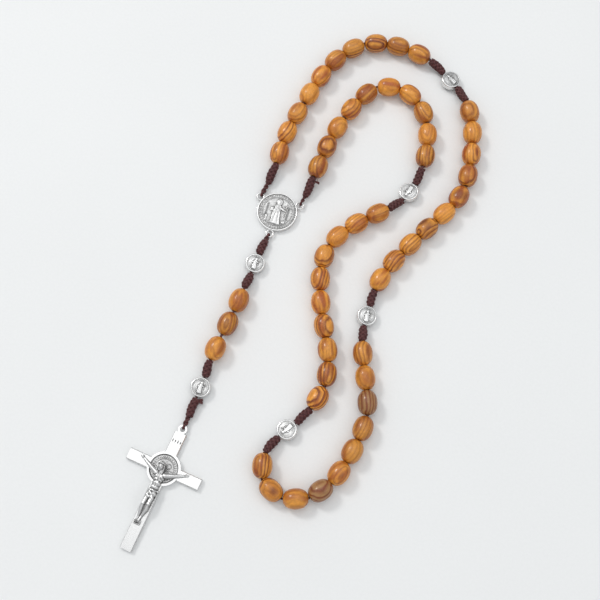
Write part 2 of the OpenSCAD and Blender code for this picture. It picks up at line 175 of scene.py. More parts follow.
@dataclass(frozen=True)
class Strand:
    """A cord laid along a smooth route, with items strung on it at even gaps."""

    via: tuple[tuple[float, float], ...]
    kinds: tuple[Kind, ...]
    knot_lens: tuple[float, ...]
    hinges: tuple[int, ...]
    turns: tuple[int, ...]
    leads: tuple[float, float]
    spline_steps: int = 8

    def line(self) -> Points:
        """Returns the smooth flat line through the route's points."""
        v = np.array(self.via)
        v = np.vstack([2 * v[0] - v[1], v, 2 * v[-1] - v[-2]])
        found = []
        for a, b, c, d in zip(v, v[1:], v[2:], v[3:]):
            for k in range(self.spline_steps):
                t = k / self.spline_steps
                cube = 3 * b - a - 3 * c + d
                found.append((2 * b + (c - a) * t + (2 * a - 5 * b + 4 * c - d) * t**2 + cube * t**3) / 2)
        return np.array([*found, v[-2]])

    def lengths(self) -> list[float]:
        """Returns each item's length along the cord."""
        knots = iter(self.knot_lens)
        fixed = {Kind.BEAD: SIZES.bead_len, Kind.MEDAL: SIZES.medal_dia}
        return [fixed[k] if k in fixed else next(knots) for k in self.kinds]

    def height_after(self, i: int) -> float:
        """Returns the height of the cord's axis in the gap after item i."""
        if i < 0 or i >= len(self.kinds) - 1:
            return SIZES.ring_z + 0.4 * MM
        return SIZES.bead_z if Kind.BEAD in self.kinds[i : i + 2] else SIZES.medal_z

    def items(self) -> list[Item]:
        """Returns the strung items in order, placed as the CAD source places them."""
        line = self.line()
        run = np.concatenate([[0], np.cumsum(np.linalg.norm(np.diff(line, axis=0), axis=1))])
        lengths = self.lengths()
        slack = SIZES.hinge_slack * len(self.hinges) + SIZES.turn_slack * len(self.turns)
        gap = (run[-1] - sum(self.leads) - sum(lengths) - slack) / (len(lengths) - 1)

        def at(s: float, z: float) -> Points:
            """Returns the point at distance s along the route, at height z."""
            return np.array([np.interp(s, run, line[:, 0]), np.interp(s, run, line[:, 1]), z])

        placed, s = [], self.leads[0]
        for i, (kind, length) in enumerate(zip(self.kinds, lengths)):
            start = at(s, self.height_after(i - 1))
            end = at(s + length, self.height_after(i))
            placed.append(Item(kind, start, end))
            s += length + gap + SIZES.hinge_slack * self.hinges.count(i)
            s += SIZES.turn_slack * self.turns.count(i)
        return placed


# The loop's route over the table, from the left ring to the right ring, in metres
LOOP_VIA = (
    (-0.002, 0.017), (0.001, 0.026), (0.004, 0.036), (0.009, 0.045), (0.014, 0.054),
    (0.019, 0.063), (0.026, 0.071), (0.034, 0.077), (0.044, 0.079), (0.054, 0.077),
    (0.063, 0.073), (0.071, 0.067), (0.077, 0.060), (0.081, 0.053), (0.084, 0.044),
    (0.084, 0.034), (0.083, 0.024), (0.081, 0.014), (0.077, 0.005), (0.070, -0.002),
    (0.062, -0.009), (0.055, -0.016), (0.048, -0.023), (0.042, -0.031), (0.039, -0.039),
    (0.037, -0.046), (0.035, -0.054), (0.035, -0.063), (0.036, -0.073), (0.037, -0.083),
    (0.035, -0.092), (0.030, -0.101), (0.025, -0.110), (0.017, -0.117), (0.007, -0.120),
    (-0.003, -0.116), (-0.006, -0.106), (-0.002, -0.098), (0.005, -0.092), (0.012, -0.086),
    (0.018, -0.079), (0.021, -0.069), (0.021, -0.059), (0.019, -0.049), (0.018, -0.038),
    (0.018, -0.028), (0.020, -0.018), (0.027, -0.010), (0.035, -0.005), (0.044, -0.001),
    (0.052, 0.004), (0.058, 0.011), (0.062, 0.019), (0.064, 0.027), (0.065, 0.037),
    (0.063, 0.047), (0.057, 0.055), (0.047, 0.058), (0.038, 0.054), (0.031, 0.045),
    (0.025, 0.037), (0.021, 0.028), (0.017, 0.019), (0.014, 0.011),
)
# The pendant's route, from the lower ring to the crucifix ring, in metres
DROP_VIA = (
    (-0.006, -0.015), (-0.009, -0.023), (-0.012, -0.031), (-0.016, -0.041),
    (-0.020, -0.050), (-0.025, -0.060), (-0.028, -0.069), (-0.031, -0.077),
    (-0.034, -0.085),
)
DECADE_KINDS = (Kind.BEAD,) * DECADE
LINK_KINDS = (Kind.KNOT, Kind.MEDAL, Kind.KNOT)
END_KNOT = 8.6 * MM
LINK_KNOTS = tuple(length * MM for length in (7.9, 7.9, 6.4, 6.4, 7.8, 7.8, 7.4, 7.4))
LOOP = Strand(
    via=(tuple(LEFT_RING[:2]), *LOOP_VIA, tuple(RIGHT_RING[:2])),
    kinds=(Kind.KNOT, *(DECADE_KINDS + LINK_KINDS) * 4, *DECADE_KINDS, Kind.KNOT),
    knot_lens=(END_KNOT, *LINK_KNOTS, END_KNOT),
    hinges=(
        bead_at(1, 3), bead_at(1, 7), bead_at(1, 10), bead_at(2, 4), bead_at(3, 3),
        bead_at(4, 1), medal_at(4) + 1, bead_at(5, 2), bead_at(5, 5), bead_at(5, 7),
    ),
    turns=(
        *(bead_at(3, n) for n in range(7, 11)), bead_at(3, 8), bead_at(3, 9), bead_at(4, 7),
        *(bead_at(5, n) for n in range(3, 6)),
    ),
    leads=(6.8 * MM, 4.6 * MM),
)
DROP = Strand(
    via=(tuple(LOWER_RING[:2]), *DROP_VIA, tuple(CROSS_RING[:2])),
    kinds=(*LINK_KINDS, *(Kind.BEAD,) * 3, *LINK_KINDS),
    knot_lens=tuple(length * MM for length in (6.4, 6.8, 6.6, 7.8)),
    hinges=(2, 3, 4),
    turns=(4,),
    leads=(3.8 * MM, 5.6 * MM),
)


# ---------------------------------------------------------------- meshes


def make_mesh(
    name: str,
    points: Points,
    faces: Faces,
    material: bpy.types.Material | None = None,
    values: dict[str, Points] | None = None,
    smooth: bool = True,
) -> bpy.types.Object:
    """Makes a mesh object at the origin.

    Args:
        name: The object's name.
        points: Corner places in the row frame, in metres.
        faces: Corner numbers of each face.
        material: Its only material.
        values: Point attributes by name, as floats or as vectors.
        smooth: Whether its faces shade smooth.

    Returns:
        The object, linked to the scene.
    """
    mesh = bpy.data.meshes.new(name)
    mesh.from_pydata([tuple(p) for p in np.asarray(points, float)], [], faces)
    for key, value in (values or {}).items():
        value = np.asarray(value, np.float32)
        kind, slot = ("FLOAT", "value") if value.ndim == 1 else ("FLOAT_VECTOR", "vector")
        mesh.attributes.new(key, kind, "POINT").data.foreach_set(slot, value.ravel())
    if smooth:
        mesh.shade_smooth()
    if material:
        mesh.materials.append(material)
    mesh.update()
    obj = bpy.data.objects.new(name, mesh)
    bpy.context.scene.collection.objects.link(obj)
    return obj


def make_lines(name: str, lines: Sequence[Points], girths: Sequence[Points]) -> bpy.types.Object:
    """Makes an object of loose edges, one run of edges for each line.

    Args:
        name: The object's name.
        lines: Places along each line, in metres.
        girths: Thickness factor at each place of each line.

    Returns:
        The object, with the factors in its girth attribute.
    """
    mesh = bpy.data.meshes.new(name)
    edges, first = [], 0
    for line in lines:
        edges += [(first + i, first + i + 1) for i in range(len(line) - 1)]
        first += len(line)
    mesh.from_pydata([tuple(p) for line in lines for p in line], edges, [])
    girth = mesh.attributes.new("girth", "FLOAT", "POINT")
    girth.data.foreach_set("value", np.concatenate(girths).astype(np.float32))
    obj = bpy.data.objects.new(name, mesh)
    bpy.context.scene.collection.objects.link(obj)
    return obj


def merge(name: str, pieces: Sequence[bpy.types.Object]) -> bpy.types.Object:
    """Joins pieces that lie at the origin into one, and gives it the name."""
    with bpy.context.temp_override(active_object=pieces[0], selected_editable_objects=list(pieces)):
        bpy.ops.object.join()
    pieces[0].name = pieces[0].data.name = name
    return pieces[0]


def baked(obj: bpy.types.Object) -> bpy.types.Object:
    """Turns what the object's modifiers give into its own plain mesh.

    Args:
        obj: An object with live modifiers.

    Returns:
        The same object, with the result as its mesh and no modifier.
    """
    graph = bpy.context.evaluated_depsgraph_get()
    mesh = bpy.data.meshes.new_from_object(obj.evaluated_get(graph), depsgraph=graph)
    mesh.name = obj.name
    obj.modifiers.clear()
    obj.data = mesh
    return obj


def lathe(profile: Sequence[tuple[float, float]], steps: int) -> tuple[Points, Faces]:
    """Turns a closed outline about Z.

    Args:
        profile: The outline's (radius, height) corners, going round it anticlockwise with
            the radius as X and the height as Y, so that the faces look outwards.
        steps: Number of steps round the axis.

    Returns:
        The points and the faces.
    """
    outline = np.array(profile)
    angles = np.arange(steps) * 2 * math.pi / steps
    points = np.concatenate([
        np.column_stack([outline[:, 0] * math.cos(a), outline[:, 0] * math.sin(a), outline[:, 1]])
        for a in angles
    ])
    n = len(outline)
    faces = [
        (i * n + j, ((i + 1) % steps) * n + j, ((i + 1) % steps) * n + (j + 1) % n, i * n + (j + 1) % n)
        for i in range(steps)
        for j in range(n)
    ]
    return points, faces


def standing_on(middle: Points, axis: Points, roll: float = 0.0) -> Matrix:
    """Returns the move that lays a shape drawn along Z on an axis, its X looking down.

    Args:
        middle: Where the shape's origin goes.
        axis: Where its Z goes.
        roll: Turn about its own Z first, in degrees.

    Returns:
        The matrix.
    """
    tilt = math.atan2(math.hypot(axis[0], axis[1]), axis[2])
    turn = math.atan2(axis[1], axis[0])
    place = Matrix.Translation(Vector(middle))
    rolled = Matrix.Rotation(math.radians(roll), 4, "Z")
    return place @ Matrix.Rotation(turn, 4, "Z") @ Matrix.Rotation(tilt, 4, "Y") @ rolled


def moved(points: Points, matrix: Matrix) -> Points:
    """Returns the points after the matrix."""
    m = np.array(matrix)
    return points @ m[:3, :3].T + m[:3, 3]


# ---------------------------------------------------------------- node graphs


class Graph:
    """A node tree under construction, with its sockets named by their labels."""

    def __init__(self, tree: bpy.types.NodeTree) -> None:
        """Starts from an empty tree.

        Args:
            tree: The tree to fill.
        """
        self.tree = tree
        tree.nodes.clear()

    def add(
        self, kind: str, values: dict[str | int, object] | None = None, **settings: object
    ) -> bpy.types.Node:
        """Adds a node.

        Args:
            kind: The node's type name.
            values: A socket to link or a plain value for each input, by name or number.
            settings: The node's own settings.

        Returns:
            The node.
        """
        node = self.tree.nodes.new(kind)
        for key, value in settings.items():
            setattr(node, key, value)
        for key, value in (values or {}).items():
            socket = node.inputs[key]
            if isinstance(value, bpy.types.NodeSocket):
                self.tree.links.new(value, socket)
            else:
                socket.default_value = value
        return node

    def math(self, operation: str, a: object, b: object = 0.0, clamp: bool = False) -> bpy.types.NodeSocket:
        """Returns the result of a Math node on two sockets or numbers."""
        return self.add("ShaderNodeMath", {0: a, 1: b}, operation=operation, use_clamp=clamp).outputs[0]

    def mix(self, factor: object, a: object, b: object) -> bpy.types.NodeSocket:
        """Returns the blend of two colours."""
        node = self.add("ShaderNodeMix", data_type="RGBA")
        for place, value in ((0, factor), (6, a), (7, b)):
            if isinstance(value, bpy.types.NodeSocket):
                self.tree.links.new(value, node.inputs[place])
            else:
                node.inputs[place].default_value = value
        return node.outputs[2]

    def noise(
        self, vector: object, scale: float, detail: float = 2.0, rough: float = 0.5
    ) -> bpy.types.NodeSocket:
        """Returns a noise texture's value, from 0 to 1."""
        values = {"Vector": vector, "Scale": scale, "Detail": detail, "Roughness": rough}
        return self.add("ShaderNodeTexNoise", values).outputs["Fac"]

    def remap(
        self, value: object, low: float, high: float, to_low: float = 0.0, to_high: float = 1.0
    ) -> bpy.types.NodeSocket:
        """Returns the value moved from one range to another, and kept in it."""
        return self.add("ShaderNodeMapRange", {0: value, 1: low, 2: high, 3: to_low, 4: to_high}).outputs[0]


def group(
    kind: str, name: str, inputs: dict[str, tuple], outputs: dict[str, str]
) -> tuple[Graph, object, object]:
    """Starts a node group with named sockets.

    Args:
        kind: ShaderNodeTree or GeometryNodeTree.
        name: The group's name.
        inputs: Socket type and default value of each input.
        outputs: Socket type of each output.

    Returns:
        The graph, its group input node and its group output node.
    """
    tree = bpy.data.node_groups.new(name, kind)
    for label, (socket_type, default) in inputs.items():
        socket = tree.interface.new_socket(label, in_out="INPUT", socket_type=socket_type)
        if default is not None:
            socket.default_value = default
    for label, socket_type in outputs.items():
        tree.interface.new_socket(label, in_out="OUTPUT", socket_type=socket_type)
    graph = Graph(tree)
    return graph, graph.add("NodeGroupInput"), graph.add("NodeGroupOutput")


def apply_tree(
    obj: bpy.types.Object, tree: bpy.types.NodeTree, values: dict[str, object]
) -> bpy.types.Object:
    """Runs a geometry node tree on an object and keeps the result as its mesh.

    Args:
        obj: The object.
        tree: The geometry node tree.
        values: The tree's inputs by name.

    Returns:
        The same object, as a plain mesh.
    """
    modifier = obj.modifiers.new(tree.name, "NODES")
    modifier.node_group = tree
    known = {s.name: s.identifier for s in tree.interface.items_tree if s.in_out == "INPUT"}
    for label, value in values.items():
        modifier[known[label]] = value
    return baked(obj)


FLOAT, INT, VECTOR, COLOUR = "NodeSocketFloat", "NodeSocketInt", "NodeSocketVector", "NodeSocketColor"
GEOMETRY, MATERIAL, OBJECT = "NodeSocketGeometry", "NodeSocketMaterial", "NodeSocketObject"


def sweep_tree() -> bpy.types.NodeTree:
    """Builds the tree that sweeps a lobed cord section along loose edges.

    Returns:
        The tree, with the section's radius, lobes, twist and sides as inputs.
    """
    graph, source, result = group(
        "GeometryNodeTree", "Swept cord",
        {
            "Geometry": (GEOMETRY, None), "Radius": (FLOAT, 0.0006), "Sides": (INT, 12),
            "Lobes": (INT, 1), "Lobe depth": (FLOAT, 0.0), "Turns per metre": (FLOAT, 0.0),
            "Material": (MATERIAL, None),
        },
        {"Geometry": GEOMETRY},
    )
    given = source.outputs
    line = graph.add("GeometryNodeMeshToCurve", {"Mesh": given["Geometry"]}).outputs[0]
    run = graph.add("GeometryNodeSplineParameter").outputs["Length"]
    tilt = graph.math("MULTIPLY", graph.math("MULTIPLY", run, given["Turns per metre"]), 2 * math.pi)
    line = graph.add("GeometryNodeSetCurveTilt", {"Curve": line, "Tilt": tilt}).outputs[0]
    ring = graph.add(
        "GeometryNodeCurvePrimitiveCircle", {"Resolution": given["Sides"], "Radius": 1.0}
    ).outputs[0]
    place = graph.add("GeometryNodeInputPosition").outputs[0]
    parts = graph.add("ShaderNodeSeparateXYZ", {0: place}).outputs
    angle = graph.math("ARCTAN2", parts["Y"], parts["X"])
    wave = graph.math("COSINE", graph.math("MULTIPLY", angle, given["Lobes"]))
    trough = graph.math("MULTIPLY", graph.math("SUBTRACT", 1.0, wave), 0.5)
    dip = graph.math("MULTIPLY", trough, given["Lobe depth"])
    size = graph.math("MULTIPLY", given["Radius"], graph.math("SUBTRACT", 1.0, dip))
    scaled = graph.add("ShaderNodeVectorMath", {0: place, "Scale": size}, operation="SCALE").outputs[0]
    ring = graph.add("GeometryNodeSetPosition", {"Geometry": ring, "Position": scaled}).outputs[0]
    girth = graph.add("GeometryNodeInputNamedAttribute", {"Name": "girth"}, data_type="FLOAT").outputs[0]
    swept = graph.add(
        "GeometryNodeCurveToMesh",
        {"Curve": line, "Profile Curve": ring, "Scale": girth, "Fill Caps": True},
    ).outputs[0]
    smooth = graph.add("GeometryNodeSetShadeSmooth", {"Geometry": swept}).outputs[0]
    real = graph.add("GeometryNodeRealizeInstances", {"Geometry": smooth}).outputs[0]
    dressed = graph.add(
        "GeometryNodeSetMaterial", {"Geometry": real, "Material": given["Material"]}
    ).outputs[0]
    graph.tree.links.new(dressed, result.inputs["Geometry"])
    return graph.tree


def string_tree() -> bpy.types.NodeTree:
    """Builds the tree that threads a bead on each point, turned to the point's axis attribute.

    Returns:
        The tree. It keeps each bead's own coordinates, in millimetres, in the grain attribute.
    """
    graph, source, result = group(
        "GeometryNodeTree", "Strung beads",
        {
            "Geometry": (GEOMETRY, None), "Bead": (OBJECT, None), "Seed": (INT, 3),
            "Least size": (FLOAT, 0.975), "Material": (MATERIAL, None),
        },
        {"Geometry": GEOMETRY},
    )
    given = source.outputs
    bead = graph.add("GeometryNodeObjectInfo", {"Object": given["Bead"]}).outputs["Geometry"]
    place = graph.add("GeometryNodeInputPosition").outputs[0]
    in_mm = graph.add("ShaderNodeVectorMath", {0: place, "Scale": 1 / MM}, operation="SCALE").outputs[0]
    bead = graph.add(
        "GeometryNodeStoreNamedAttribute", {"Geometry": bead, "Name": "grain", "Value": in_mm},
        data_type="FLOAT_VECTOR", domain="POINT",
    ).outputs[0]
    axis = graph.add(
        "GeometryNodeInputNamedAttribute", {"Name": "axis"}, data_type="FLOAT_VECTOR"
    ).outputs[0]
    lying = graph.add("FunctionNodeAlignRotationToVector", {"Vector": axis}, axis="Z").outputs[0]
    roll = graph.add("GeometryNodeInputNamedAttribute", {"Name": "roll"}, data_type="FLOAT").outputs[0]
    turn = graph.add("FunctionNodeAxisAngleToRotation", {"Axis": (0, 0, 1), "Angle": roll}).outputs[0]
    turned = graph.add(
        "FunctionNodeRotateRotation", {"Rotation": lying, "Rotate By": turn}, rotation_space="LOCAL"
    ).outputs[0]
    size = graph.add(
        "FunctionNodeRandomValue",
        {2: given["Least size"], 3: 1.0, "Seed": given["Seed"]},
        data_type="FLOAT",
    ).outputs[1]
    girth = graph.add("ShaderNodeCombineXYZ", {0: size, 1: size, 2: 1.0}).outputs[0]
    strung = graph.add(
        "GeometryNodeInstanceOnPoints",
        {"Points": given["Geometry"], "Instance": bead, "Rotation": turned, "Scale": girth},
    ).outputs[0]
    real = graph.add("GeometryNodeRealizeInstances", {"Geometry": strung}).outputs[0]
    dressed = graph.add(
        "GeometryNodeSetMaterial", {"Geometry": real, "Material": given["Material"]}
    ).outputs[0]
    graph.tree.links.new(dressed, result.inputs["Geometry"])
    return graph.tree


# ---------------------------------------------------------------- finishes


def new_material(name: str, slot: str) -> tuple[Graph, bpy.types.Node, bpy.types.Material]:
    """Starts a material.

    Args:
        name: The material's name.
        slot: The record's slot that it stands for.

    Returns:
        Its graph, its Principled BSDF and the material.
    """
    material = bpy.data.materials.new(name)
    material.use_nodes = True
    material["slot"] = slot
    graph = Graph(material.node_tree)
    shader = graph.add("ShaderNodeBsdfPrincipled")
    graph.add("ShaderNodeOutputMaterial", {"Surface": shader.outputs[0]})
    return graph, shader, material


def handling_group() -> bpy.types.NodeTree:
    """Builds the shader group that gives fine scuffs and the dullness of handling.

    Returns:
        The group: a roughness and a height that vary over the surface.
    """
    graph, source, result = group(
        "ShaderNodeTree", "Handling",
        {
            "Vector": (VECTOR, None), "Roughness": (FLOAT, 0.3),
            "Amount": (FLOAT, 0.1), "Scale": (FLOAT, 1200.0),
        },
        {"Roughness": FLOAT, "Height": FLOAT},
    )
    given = source.outputs
    broad = graph.noise(given["Vector"], 160.0, 3.0)
    fine = graph.add(
        "ShaderNodeTexNoise", {"Vector": given["Vector"], "Scale": given["Scale"], "Detail": 3.0}
    ).outputs["Fac"]
    spread = graph.math("SUBTRACT", graph.math("ADD", broad, fine), 1.0)
    change = graph.math("MULTIPLY", spread, given["Amount"])
    rough = graph.math("ADD", given["Roughness"], change, clamp=True)
    graph.tree.links.new(rough, result.inputs["Roughness"])
    graph.tree.links.new(fine, result.inputs["Height"])
    return graph.tree


@dataclass(frozen=True)
class WoodFinish:
    """Lacquered olive wood, cut so that its growth rings run along each bead."""

    pale: tuple = (0.780, 0.325, 0.043, 1.0)
    warm: tuple = (0.370, 0.083, 0.009, 1.0)
    dark: tuple = (0.160, 0.029, 0.004, 1.0)
    ring_pitch_mm: float = 1.35
    heart_reach_mm: float = 9.0
    aged: tuple = (0.330, 0.170, 0.062, 1.0)
    aged_beads: tuple[int, int] = (bead_at(3, 3), bead_at(3, 7))

    def build(self) -> bpy.types.Material:
        """Returns the material, which reads the grain and kind attributes of each bead."""
        graph, shader, material = new_material("Olive wood", "wood")
        grain = graph.add("ShaderNodeAttribute", attribute_name="grain").outputs["Vector"]
        seed = graph.add("ShaderNodeAttribute", attribute_name="kind").outputs["Fac"]
        spun = graph.add("ShaderNodeTexWhiteNoise", {"W": seed}, noise_dimensions="1D").outputs["Color"]
        chance = graph.add("ShaderNodeSeparateXYZ", {0: spun}).outputs
        other = graph.add(
            "ShaderNodeTexWhiteNoise", {"W": graph.math("ADD", seed, 7.3)}, noise_dimensions="1D"
        ).outputs["Color"]
        more = graph.add("ShaderNodeSeparateXYZ", {0: other}).outputs

        # the heart of the tree lies beside the bead, a little askew to it
        reach = graph.remap(chance["X"], 0, 1, 2.2, self.heart_reach_mm)
        along = graph.math("MULTIPLY", seed, 11.0)
        shifted = graph.add("ShaderNodeCombineXYZ", {0: reach, 1: 0.0, 2: along}).outputs[0]
        lean = grain
        for part, most in (("X", 0.2), ("Y", 0.16)):
            angle = graph.remap(chance["Y" if part == "X" else "Z"], 0, 1, -most, most)
            lean = graph.add(
                "ShaderNodeVectorRotate", {"Vector": lean, "Angle": angle}, rotation_type=f"{part}_AXIS"
            ).outputs[0]
        sawn = graph.add("ShaderNodeVectorMath", {0: lean, 1: shifted}, operation="ADD").outputs[0]
        stretched = graph.add(
            "ShaderNodeVectorMath", {0: sawn, 1: (1.0, 1.0, 0.16)}, operation="MULTIPLY"
        ).outputs[0]
        drift = graph.noise(stretched, 0.42, 2.0)
        parts = graph.add("ShaderNodeSeparateXYZ", {0: sawn}).outputs
        across = graph.math("POWER", parts["X"], 2.0)
        beside = graph.math("POWER", parts["Y"], 2.0)
        radius = graph.math("SQRT", graph.math("ADD", across, beside))
        wander = graph.math("MULTIPLY", graph.math("SUBTRACT", drift, 0.5), 1.5)
        rings = graph.math("DIVIDE", graph.math("ADD", radius, wander), self.ring_pitch_mm)

        # each ring: a slow rise in colour, then a thin dark line
        phase = graph.math("FRACT", rings)
        count = graph.math("FLOOR", rings)
        odd = graph.add(
            "ShaderNodeTexWhiteNoise", {"W": graph.math("ADD", count, graph.math("MULTIPLY", seed, 3.7))},
            noise_dimensions="1D",
        ).outputs["Value"]
        rise = graph.remap(phase, 0.10, 0.68)
        fall = graph.remap(phase, 0.76, 1.0, 1.0, 0.0)
        line = graph.math("MULTIPLY", graph.math("POWER", rise, 1.5), graph.math("POWER", fall, 1.3))
        bold = graph.remap(more["X"], 0.1, 0.8, 0.35, 1.1)
        strength = graph.math("MULTIPLY", graph.remap(odd, 0.1, 0.65, 0.28, 1.0), bold)
        old = graph.math("ADD", *(graph.math("COMPARE", seed, float(n)) for n in self.aged_beads))
        strength = graph.math("MAXIMUM", strength, graph.math("MULTIPLY", old, 0.95))
        streak = graph.math("MULTIPLY", line, strength, clamp=True)

        # broad warm patches, fine pores along the grain
        patch = graph.remap(graph.noise(stretched, 0.36, 1.0), 0.42, 0.62)
        warmth = graph.math("MULTIPLY", patch, graph.remap(more["Y"], 0, 0.8, 0.35, 1.0))
        body = graph.mix(old, graph.mix(warmth, self.pale, self.warm), self.aged)
        hair = graph.add(
            "ShaderNodeVectorMath", {0: sawn, 1: (1.0, 1.0, 0.06)}, operation="MULTIPLY"
        ).outputs[0]
        pores = graph.noise(hair, 5.5, 4.0, 0.62)
        body = graph.mix(graph.remap(pores, 0.48, 0.72, 0.0, 0.30), body, self.dark)
        colour = graph.mix(streak, body, self.dark)
        mottle = graph.remap(graph.noise(sawn, 0.9, 3.0), 0.3, 0.7, 0.88, 1.1)
        tone = graph.math("MULTIPLY", mottle, graph.remap(more["Z"], 0, 1, 0.80, 1.12))
        colour = graph.add("ShaderNodeVectorMath", {0: colour, "Scale": tone}, operation="SCALE").outputs[0]
        graph.tree.links.new(colour, shader.inputs["Base Color"])

        wear = graph.add("ShaderNodeGroup")
        wear.node_tree = bpy.data.node_groups["Handling"]
        place = graph.add("ShaderNodeTexCoord").outputs["Object"]
        graph.tree.links.new(place, wear.inputs["Vector"])
        wear.inputs["Roughness"].default_value = 0.42
        wear.inputs["Amount"].default_value = 0.10
        graph.tree.links.new(wear.outputs["Roughness"], shader.inputs["Roughness"])
        height = graph.math("ADD", graph.math("MULTIPLY", pores, 0.7), graph.math("MULTIPLY", streak, 0.5))
        bump = graph.add("ShaderNodeBump", {"Strength": 0.12, "Distance": 0.00004, "Height": height})
        graph.tree.links.new(bump.outputs[0], shader.inputs["Normal"])
        shader.inputs["Coat Weight"].default_value = 0.32
        shader.inputs["Coat Roughness"].default_value = 0.14
        shader.inputs["IOR"].default_value = 1.42
        return material


@dataclass(frozen=True)
class CordFinish:
    """Waxed maroon cord with fine fibres."""

    thread: tuple = (0.180, 0.046, 0.044, 1.0)
    shade: tuple = (0.050, 0.012, 0.013, 1.0)

    def build(self) -> bpy.types.Material:
        """Returns the material."""
        graph, shader, material = new_material("Waxed cord", "cord")
        place = graph.add("ShaderNodeTexCoord").outputs["Object"]
        skew = graph.add(
            "ShaderNodeMapping", {"Vector": place, "Rotation": (0.0, 0.0, 0.7), "Scale": (1.0, 0.35, 1.0)}
        )
        fibre = graph.noise(skew.outputs[0], 5200.0, 3.0, 0.6)
        worn = graph.noise(place, 700.0, 2.0)
        faded = graph.remap(worn, 0.3, 0.75, 0.45, 1.0)
        # painted shade: the fibres darken towards their sunken parts, under broad patches of wear
        pale = graph.math("MULTIPLY", graph.remap(fibre, 0.35, 0.7), faded)
        graph.tree.links.new(graph.mix(pale, self.shade, self.thread), shader.inputs["Base Color"])
        wear = graph.add("ShaderNodeGroup")
        wear.node_tree = bpy.data.node_groups["Handling"]
        graph.tree.links.new(place, wear.inputs["Vector"])
        wear.inputs["Roughness"].default_value = 0.55
        wear.inputs["Amount"].default_value = 0.2
        wear.inputs["Scale"].default_value = 3000.0
        graph.tree.links.new(wear.outputs["Roughness"], shader.inputs["Roughness"])
        bump = graph.add("ShaderNodeBump", {"Strength": 0.6, "Distance": 0.00006, "Height": fibre})
        graph.tree.links.new(bump.outputs[0], shader.inputs["Normal"])
        shader.inputs["Sheen Weight"].default_value = 0.12
        shader.inputs["Sheen Roughness"].default_value = 0.4
        return material


@dataclass(frozen=True)
class SilverFinish:
    """Antiqued cast silver: bright where handling polishes it, dark in its recesses and where shade is
    painted on it.
    """

    name: str = "Antique silver"
    bright: tuple = (0.765, 0.765, 0.76, 1.0)
    dark: tuple = (0.055, 0.052, 0.050, 1.0)
    rough: float = 0.26

    def build(self) -> bpy.types.Material:
        """Returns the material, which reads each piece's patina map; on the figure that map also holds
        painted shade.
        """
        graph, shader, material = new_material(self.name, "silver")
        place = graph.add("ShaderNodeTexCoord").outputs["Object"]
        depth = graph.add("ShaderNodeAttribute", attribute_name="patina").outputs["Fac"]
        grit = graph.noise(place, 2600.0, 4.0, 0.65)
        blotch = graph.noise(place, 420.0, 3.0)
        # patina, grit and clouds darken the silver; on the figure the map adds painted shade
        tarnish_and_shade = graph.math("ADD", graph.math("MULTIPLY", graph.math("SUBTRACT", grit, 0.5), 0.5), depth)
        cloudy = graph.math("MULTIPLY", graph.math("SUBTRACT", blotch, 0.55), 0.35)
        tarnish_and_shade = graph.math("ADD", tarnish_and_shade, cloudy)
        stain_and_shade = graph.remap(tarnish_and_shade, 0.05, 0.95)
        graph.tree.links.new(graph.mix(stain_and_shade, self.bright, self.dark), shader.inputs["Base Color"])
        wear = graph.add("ShaderNodeGroup")
        wear.node_tree = bpy.data.node_groups["Handling"]
        graph.tree.links.new(place, wear.inputs["Vector"])
        wear.inputs["Roughness"].default_value = self.rough
        wear.inputs["Amount"].default_value = 0.16
        wear.inputs["Scale"].default_value = 2200.0
        rough = graph.math("ADD", wear.outputs["Roughness"], graph.math("MULTIPLY", stain_and_shade, 0.3), clamp=True)
        graph.tree.links.new(rough, shader.inputs["Roughness"])
        bump = graph.add(
            "ShaderNodeBump", {"Strength": 0.16, "Distance": 0.00003, "Height": wear.outputs["Height"]}
        )
        graph.tree.links.new(bump.outputs[0], shader.inputs["Normal"])
        shader.inputs["Metallic"].default_value = 1.0
        return material


@dataclass
class Finishes:
    """The materials that every piece is dressed in."""

    wood: bpy.types.Material = field(init=False)
    cord: bpy.types.Material = field(init=False)
    silver: bpy.types.Material = field(init=False)
    sweep: bpy.types.NodeTree = field(init=False)
    string: bpy.types.NodeTree = field(init=False)

    def __post_init__(self) -> None:
        """Builds the shared groups, then the materials and the geometry trees."""
        handling_group()
        self.wood = WoodFinish().build()
        self.cord = CordFinish().build()
        self.silver = SilverFinish().build()
        self.sweep = sweep_tree()
        self.string = string_tree()

    def swept(
        self, name: str, lines: Sequence[Points], radius: float, girths: Sequence[Points] | None = None,
        sides: int = 12, lobes: int = 1, lobe_depth: float = 0.0, pitch: float = 0.0,
    ) -> bpy.types.Object:
        """Makes cord along lines.

        Args:
            name: The object's name.
            lines: Places along each line, in metres.
            radius: The cord's radius.
            girths: Thickness factor at each place, all ones if left out.
            sides: Corners of its section.
            lobes: Strands that show round its section.
            lobe_depth: Depth of the grooves between them, as a share of the radius.
            pitch: Length of one turn of the strands, or 0 for none.

        Returns:
            The object, as a plain mesh.
        """
        girths = girths or [np.ones(len(line)) for line in lines]
        obj = make_lines(name, lines, girths)
        values = {
            "Radius": radius, "Sides": sides, "Lobes": lobes, "Lobe depth": lobe_depth,
            "Turns per metre": 1 / pitch if pitch else 0.0, "Material": self.cord,
        }
        return apply_tree(obj, self.sweep, values)


# ---------------------------------------------------------------- strung pieces


def add_piece(obj: bpy.types.Object, body: str, nodes: Iterable[str] = ()) -> None:
    """Hands a finished piece to the frame.

    Args:
        obj: The piece, at the origin.
        body: The CAD body it moves with.
        nodes: The CAD nodes it stands for.
    """
    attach(obj, body)
    names = list(nodes)
    if names:
        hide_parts(*names)
    log.info("%s: %d faces, on %s%s", obj.name, len(obj.data.polygons), body,
             f", for {', '.join(names)}" if names else "")


def body_nodes(body: str, start: str) -> list[str]:
    """Returns the CAD nodes of a body whose names start that way."""
    return [n for n in frame["record"]["behaviour"]["bodies"][body] if n.startswith(start)]


@dataclass(frozen=True)
class Stretch:
    """The part of a strand that one CAD body holds, from item first to item last."""

    body: str
    first: int
    last: int


